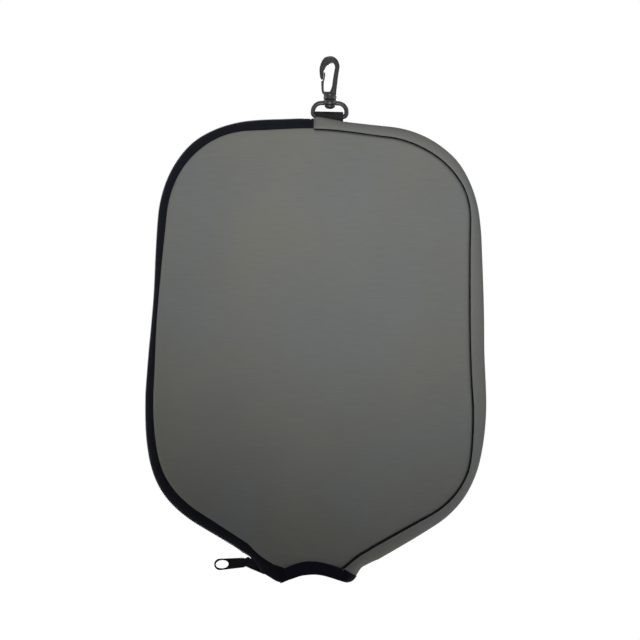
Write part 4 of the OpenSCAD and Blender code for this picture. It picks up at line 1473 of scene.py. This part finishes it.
@dataclass
class Hanger:
    """The moulded snap hook with its gate, the swivel ring, and the webbing that ties it to the case."""

    hook_t: float = 4.2 * MM
    collar_r: float = 4.2 * MM
    collar_z: float = -16.9 * MM
    collar_h: float = 3.4 * MM
    tongue_w: float = 3.4 * MM
    boss_r: float = 4.3 * MM
    boss_top: float = -20.4 * MM
    boss_foot: float = -24.1 * MM
    stem_r: float = 1.6 * MM
    knob_r: float = 3.4 * MM
    knob_h: float = 2.3 * MM
    rod_r: float = 1.45 * MM
    ring_h: float = 8.6 * MM
    ring_top_r: float = 5.4 * MM
    ring_low_r: float = 2.4 * MM
    web_t: float = 1.5 * MM
    web_gap: float = 0.35 * MM
    web_spread: float = 1.5 * MM
    web_shift: float = 0.35 * MM

    def bar(self, pairs: Sequence[tuple[tuple[float, float], tuple[float, float]]], ring: Profile,
            steps: int = 5) -> bmesh.types.BMesh:
        """A moulded bar between an inner and an outer edge, in the XZ plane.

        Args:
            pairs: Inner and outer point of the bar at a few places, in millimetres.
            ring: Its section, where -1 to 1 outward spans the bar.
            steps: Stations from one pair to the next.

        Returns:
            The bar.
        """
        points = [(Vector((a[0], 0, a[1])) * MM, Vector((b[0], 0, b[1])) * MM) for a, b in pairs]
        run: Run = []
        for k in range(len(points) - 1):
            quads = four_round(points, k)
            for j in range(steps + (k == len(points) - 2)):
                inner, outer = (curved([q[e] for q in quads], j / steps) for e in (0, 1))
                run.append(Station((inner + outer) / 2, (outer - inner) / 2))
        return carried(ring, run)

    def hook(self) -> bmesh.types.BMesh:
        """The hook: a channelled bar round the crook, on a foot, a collar, a stem and a knob."""
        half = self.hook_t / 2
        section = [(0.97, 0.8 * half), (0.8, 0.96 * half), (0.55, half), (0.42, 0.93 * half),
                   (0.32, 0.74 * half), (-0.32, 0.74 * half), (-0.42, 0.93 * half), (-0.55, half),
                   (-0.8, 0.96 * half), (-0.97, 0.8 * half), (-1, 0.4 * half)]
        section += [(u, -w) for u, w in reversed(section[:-1])]
        section = [*section[:11], (-1, -0.4 * half), *section[11:], (1, -0.4 * half), (1, 0.4 * half)]
        pairs = [((-1.0, -17.0), (4.1, -17.4)), ((-0.15, -15.2), (4.05, -15.2)), ((1.0, -12.2), (4.3, -12.2)),
                 ((1.85, -5.6), (4.95, -5.6)), ((2.65, -0.5), (5.65, -0.5)), ((2.55, 1.2), (5.6, 1.6)),
                 ((1.95, 2.1), (4.7, 4.2)), ((1.2, 2.55), (2.75, 6.3)), ((0.3, 2.5), (0.4, 7.2)),
                 ((-0.7, 2.0), (-2.2, 6.9)), ((-1.8, 1.2), (-4.25, 5.9)), ((-2.75, 0.2), (-5.8, 3.6)),
                 ((-3.5, -0.9), (-6.75, 0.8)), ((-4.1, -2.4), (-7.05, -1.4)), ((-4.3, -4.0), (-6.95, -3.8)),
                 ((-4.4, -6.0), (-6.6, -6.0)), ((-4.6, -7.9), (-5.8, -7.9))]
        bar = self.bar(pairs, section)
        foot = block((8 * MM, self.hook_t, 2.6 * MM), 0.7 * MM, (-0.2 * MM, 0, self.collar_z + 0.2 * MM), 4)
        r, top, low = self.collar_r, self.collar_z, self.collar_z - self.collar_h
        knob = self.boss_foot - 0.1 * MM
        collar = [(0, top), (r - 0.9 * MM, top), (r - 0.4 * MM, top - 0.3 * MM),
                  (r - 0.5 * MM, top - 0.7 * MM), (r, top - 1.1 * MM), (r, low + 0.5 * MM), (r - 0.4 * MM, low)]
        stem = [(self.stem_r, low), (self.stem_r, knob + 0.01 * MM)]
        head = [(self.knob_r, knob), (self.knob_r, knob - 0.5 * MM), (self.knob_r * 0.85, knob - 1.3 * MM),
                (self.knob_r * 0.5, knob - 2.0 * MM), (0, knob - self.knob_h)]
        return merged(bar, foot, turned_shape(collar + stem + head))

    def gate(self) -> bmesh.types.BMesh:
        """The springy tongue, thin at its root and hooked at its tip."""
        w = self.tongue_w / 2
        ring = [(math.copysign(abs(u) ** 0.6, u), w * math.copysign(abs(v) ** 0.5, v))
                for u, v in circle(1, 16)]
        pairs = [((-2.3, -17.1), (-3.9, -17.6)), ((-3.5, -16.2), (-5.1, -16.3)),
                 ((-3.95, -14.2), (-5.55, -14.2)),
                 ((-4.1, -11.5), (-5.75, -11.5)), ((-3.95, -8.9), (-5.7, -8.9)), ((-3.6, -7.6), (-4.6, -8.0)),
                 ((-3.3, -5.8), (-4.3, -6.0)), ((-3.25, -3.9), (-4.15, -3.9)), ((-3.4, -3.3), (-4.0, -3.3))]
        return self.bar(pairs, ring, 4)

    def ring(self) -> bmesh.types.BMesh:
        """The swivel ring: a bent rod with a domed boss on its upper side."""
        low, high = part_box("swivel_ring")
        wide = high.x - low.x - 2 * self.rod_r
        middle = low.z + self.rod_r + self.ring_h / 2
        run: Run = []
        for quarter, r in enumerate((self.ring_top_r, self.ring_top_r, self.ring_low_r, self.ring_low_r)):
            x = (1 if quarter in (0, 3) else -1) * (wide / 2 - r)
            z = (1 if quarter < 2 else -1) * (self.ring_h / 2 - r)
            for j in range(9):
                a = math.pi / 2 * (quarter + j / 8)
                out = Vector((math.cos(a), 0, math.sin(a)))
                run.append(Station(Vector((x, 0, middle + z)) + out * r, out))
        r = self.rod_r
        rod = carried(circle(r, 20), run, closed=True)
        b, top, foot = self.boss_r, self.boss_top, self.boss_foot
        bore = self.stem_r + 0.06 * MM
        boss = turned_shape([(bore, top), (b - 0.7 * MM, top), (b - 0.2 * MM, top - 0.25 * MM),
                             (b, top - 0.8 * MM), (b, foot + 1.4 * MM), (b - 0.3 * MM, foot + 0.6 * MM),
                             (b - 1.0 * MM, foot), (bore, foot), (bore, top)])
        return merged(rod, boss)

    def webbing(self) -> bmesh.types.BMesh:
        """The webbing: folded round the ring's lower rod, its two ends together below."""
        low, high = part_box("hook_webbing")
        r = self.rod_r + self.web_gap + self.web_t / 2
        rod_z = high.z - r - self.web_t / 2
        leg = self.web_t / 2 + 0.02 * MM
        sag = math.asin((r - leg) / (6 * MM))
        run: Run = []
        side = Vector((1, 0, 0))
        span = math.pi / 2 + sag
        for k in range(25):
            a = -span + 2 * span * k / 24
            out = Vector((0, math.sin(a), math.cos(a)))
            run.append(Station(Vector((0, 0, rod_z)) + out * r, out, side))
        down = Vector((0, leg, rod_z - 6.5 * MM))
        foot = Vector((0, leg, low.z + 0.02 * MM))
        out = Vector((0, 1, 0))
        run += [Station(down, out, side), Station(foot, out, side)]
        left = [Station(Vector((0, -s.at.y, s.at.z)), Vector((0, -1, 0)), side) for s in (run[-1], run[-2])]
        run = marked(left + run, 1.2 * MM)
        wide = high.x - low.x + self.web_spread
        ribs = 11
        face = []
        for k in range(ribs * 2 + 1):
            x = wide / 2 - 0.35 * MM - (wide - 0.7 * MM) * k / (ribs * 2)
            face.append((self.web_t / 2 - (0 if k % 2 else 0.16 * MM), x))
        ring = [*face, (0, -wide / 2), *((-u, w) for u, w in reversed(face)), (0, wide / 2)]
        ring = [(u, w - self.web_shift) for u, w in ring]
        return carried(ring, run)

    def build(self) -> None:
        """Makes the hook, its gate, the ring and the webbing."""
        finished(self.hook(), "snap_hook_moulding", HOOK_PLASTIC, "hook", "snap_hook", crease=38)
        finished(self.gate(), "gate_moulding", HOOK_PLASTIC, "gate", "gate_tongue", crease=60)
        finished(self.ring(), "ring_moulding", HOOK_PLASTIC, "ring", "swivel_ring", crease=38)
        finished(self.webbing(), "webbing_loop", WEBBING, "case", "hook_webbing", crease=60)


# ---- Studio ----


@dataclass(frozen=True)
class Lamp:
    """A square soft lamp: its place, what it points at, the length of its sides and its power."""

    name: str
    at: tuple[float, float, float]
    aim: tuple[float, float, float]
    size: float
    watts: float


MIDDLE = (0, 0, -0.15)


@dataclass
class Studio:
    """Camera, lamps, white backdrop and a pale floor under the hanging cover."""

    distance: float = 2.0
    view_w: float = 406.4 * MM
    aim: tuple[float, float] = (-3.5 * MM, -160.4 * MM)
    roll: float = 1.15
    floor_z: float = -0.75
    floor_w: float = 3.0
    floor_glow: float = 0.5
    world_glow: float = 0.04
    lamps: tuple[Lamp, ...] = (Lamp("key", (-0.023, -0.411, -0.177), (0.279, 0, 0.733), 0.2, 2.6),
                               Lamp("behind", (0, 1.6, 0), MIDDLE, 0.8, 16),
                               Lamp("above", (0, -0.1, 1.1), (0, 0, 0), 0.5, 6.5),
                               Lamp("side_1", (1.6, 0, 0), MIDDLE, 0.8, 8),
                               Lamp("side_-1", (-1.6, 0, 0), MIDDLE, 0.8, 8))

    def camera(self) -> None:
        """The camera, straight in front and a touch rolled."""
        data = bpy.data.cameras.new("camera")
        data.sensor_width = 36
        data.lens = 36 * self.distance / self.view_w
        camera = bpy.data.objects.new("camera", data)
        camera.matrix_world = (Matrix.Translation((self.aim[0], 0, self.aim[1]))
                               @ Matrix.Translation((0, -self.distance, 0))
                               @ Matrix.Rotation(math.pi / 2, 4, "X")
                               @ Matrix.Rotation(math.radians(self.roll), 4, "Z"))
        bpy.context.scene.collection.objects.link(camera)
        bpy.context.scene.camera = camera

    def hang(self, lamp: Lamp) -> None:
        """Puts a lamp in its place."""
        data = bpy.data.lights.new(lamp.name, "AREA")
        data.size = lamp.size
        data.energy = lamp.watts
        piece = bpy.data.objects.new(lamp.name, data)
        turn = (Vector(lamp.aim) - Vector(lamp.at)).to_track_quat("-Z", "Y").to_matrix().to_4x4()
        piece.matrix_world = Matrix.Translation(lamp.at) @ turn
        bpy.context.scene.collection.objects.link(piece)

    def world(self) -> None:
        """White where it is seen, softer where it lights the cover."""
        world = bpy.data.worlds.new("studio")
        world.use_nodes = True
        bpy.context.scene.world = world
        tree = world.node_tree
        back = tree.nodes["Background"]
        path = tree.nodes.new("ShaderNodeLightPath")
        seen = path.outputs["Is Camera Ray"]
        for kind in ("Is Glossy Ray", "Is Transmission Ray"):
            either = tree.nodes.new("ShaderNodeMath")
            either.operation = "MAXIMUM"
            tree.links.new(seen, either.inputs[0])
            tree.links.new(path.outputs[kind], either.inputs[1])
            seen = either.outputs[0]
        level = tree.nodes.new("ShaderNodeMapRange")
        level.inputs["To Min"].default_value = self.world_glow
        level.inputs["To Max"].default_value = 1.0
        tree.links.new(seen, level.inputs["Value"])
        tree.links.new(level.outputs[0], back.inputs["Strength"])
        back.inputs["Color"].default_value = (1, 1, 1, 1)

    def floor(self) -> None:
        """A pale floor well below the cover, glowing only where it is seen, so that it keeps its shadow."""
        bm = bmesh.new()
        bmesh.ops.create_grid(bm, x_segments=1, y_segments=1, size=self.floor_w / 2)
        bmesh.ops.translate(bm, vec=(0, 0, self.floor_z), verts=bm.verts)
        mesh = bpy.data.meshes.new("floor")
        bm.to_mesh(mesh)
        bm.free()
        shader = Shader("floor_paper")
        shader.surface.inputs["Roughness"].default_value = 0.9
        where = shader.add("TexCoord").outputs["Object"]
        shader.tint((0.86, 0.86, 0.86), shader.cloud(where, 0.4), 0.02)
        path = shader.add("LightPath").outputs
        seen = shader.maths("MAXIMUM", path["Is Camera Ray"], path["Is Glossy Ray"])
        seen = shader.maths("MAXIMUM", seen, path["Is Transmission Ray"])
        shader.surface.inputs["Emission Color"].default_value = (1, 1, 1, 1)
        shader.feed(shader.surface, "Emission Strength", shader.maths("MULTIPLY", seen, self.floor_glow))
        mesh.materials.append(shader.material)
        floor = bpy.data.objects.new("floor", mesh)
        bpy.context.scene.collection.objects.link(floor)

    def build(self) -> None:
        """Sets up the whole studio."""
        bpy.context.scene.view_settings.view_transform = "Standard"
        self.camera()
        self.world()
        self.floor()
        for lamp in self.lamps:
            self.hang(lamp)


def main() -> None:
    """Builds the cover in its studio, sub-assembly by sub-assembly."""
    logging.basicConfig(level=logging.INFO, format="%(name)s: %(message)s")
    Studio().build()
    outline = Outline()
    PaddedPanels(outline).build()
    gusset = Gusset(outline)
    gusset.build()
    bindings = Bindings(outline)
    bindings.build(gusset)
    CoilZip(outline).build(bindings)
    SliderAndPull(outline).build()
    Hanger().build()
    bpy.context.view_layer.update()


if __name__ == "__main__":
    main()
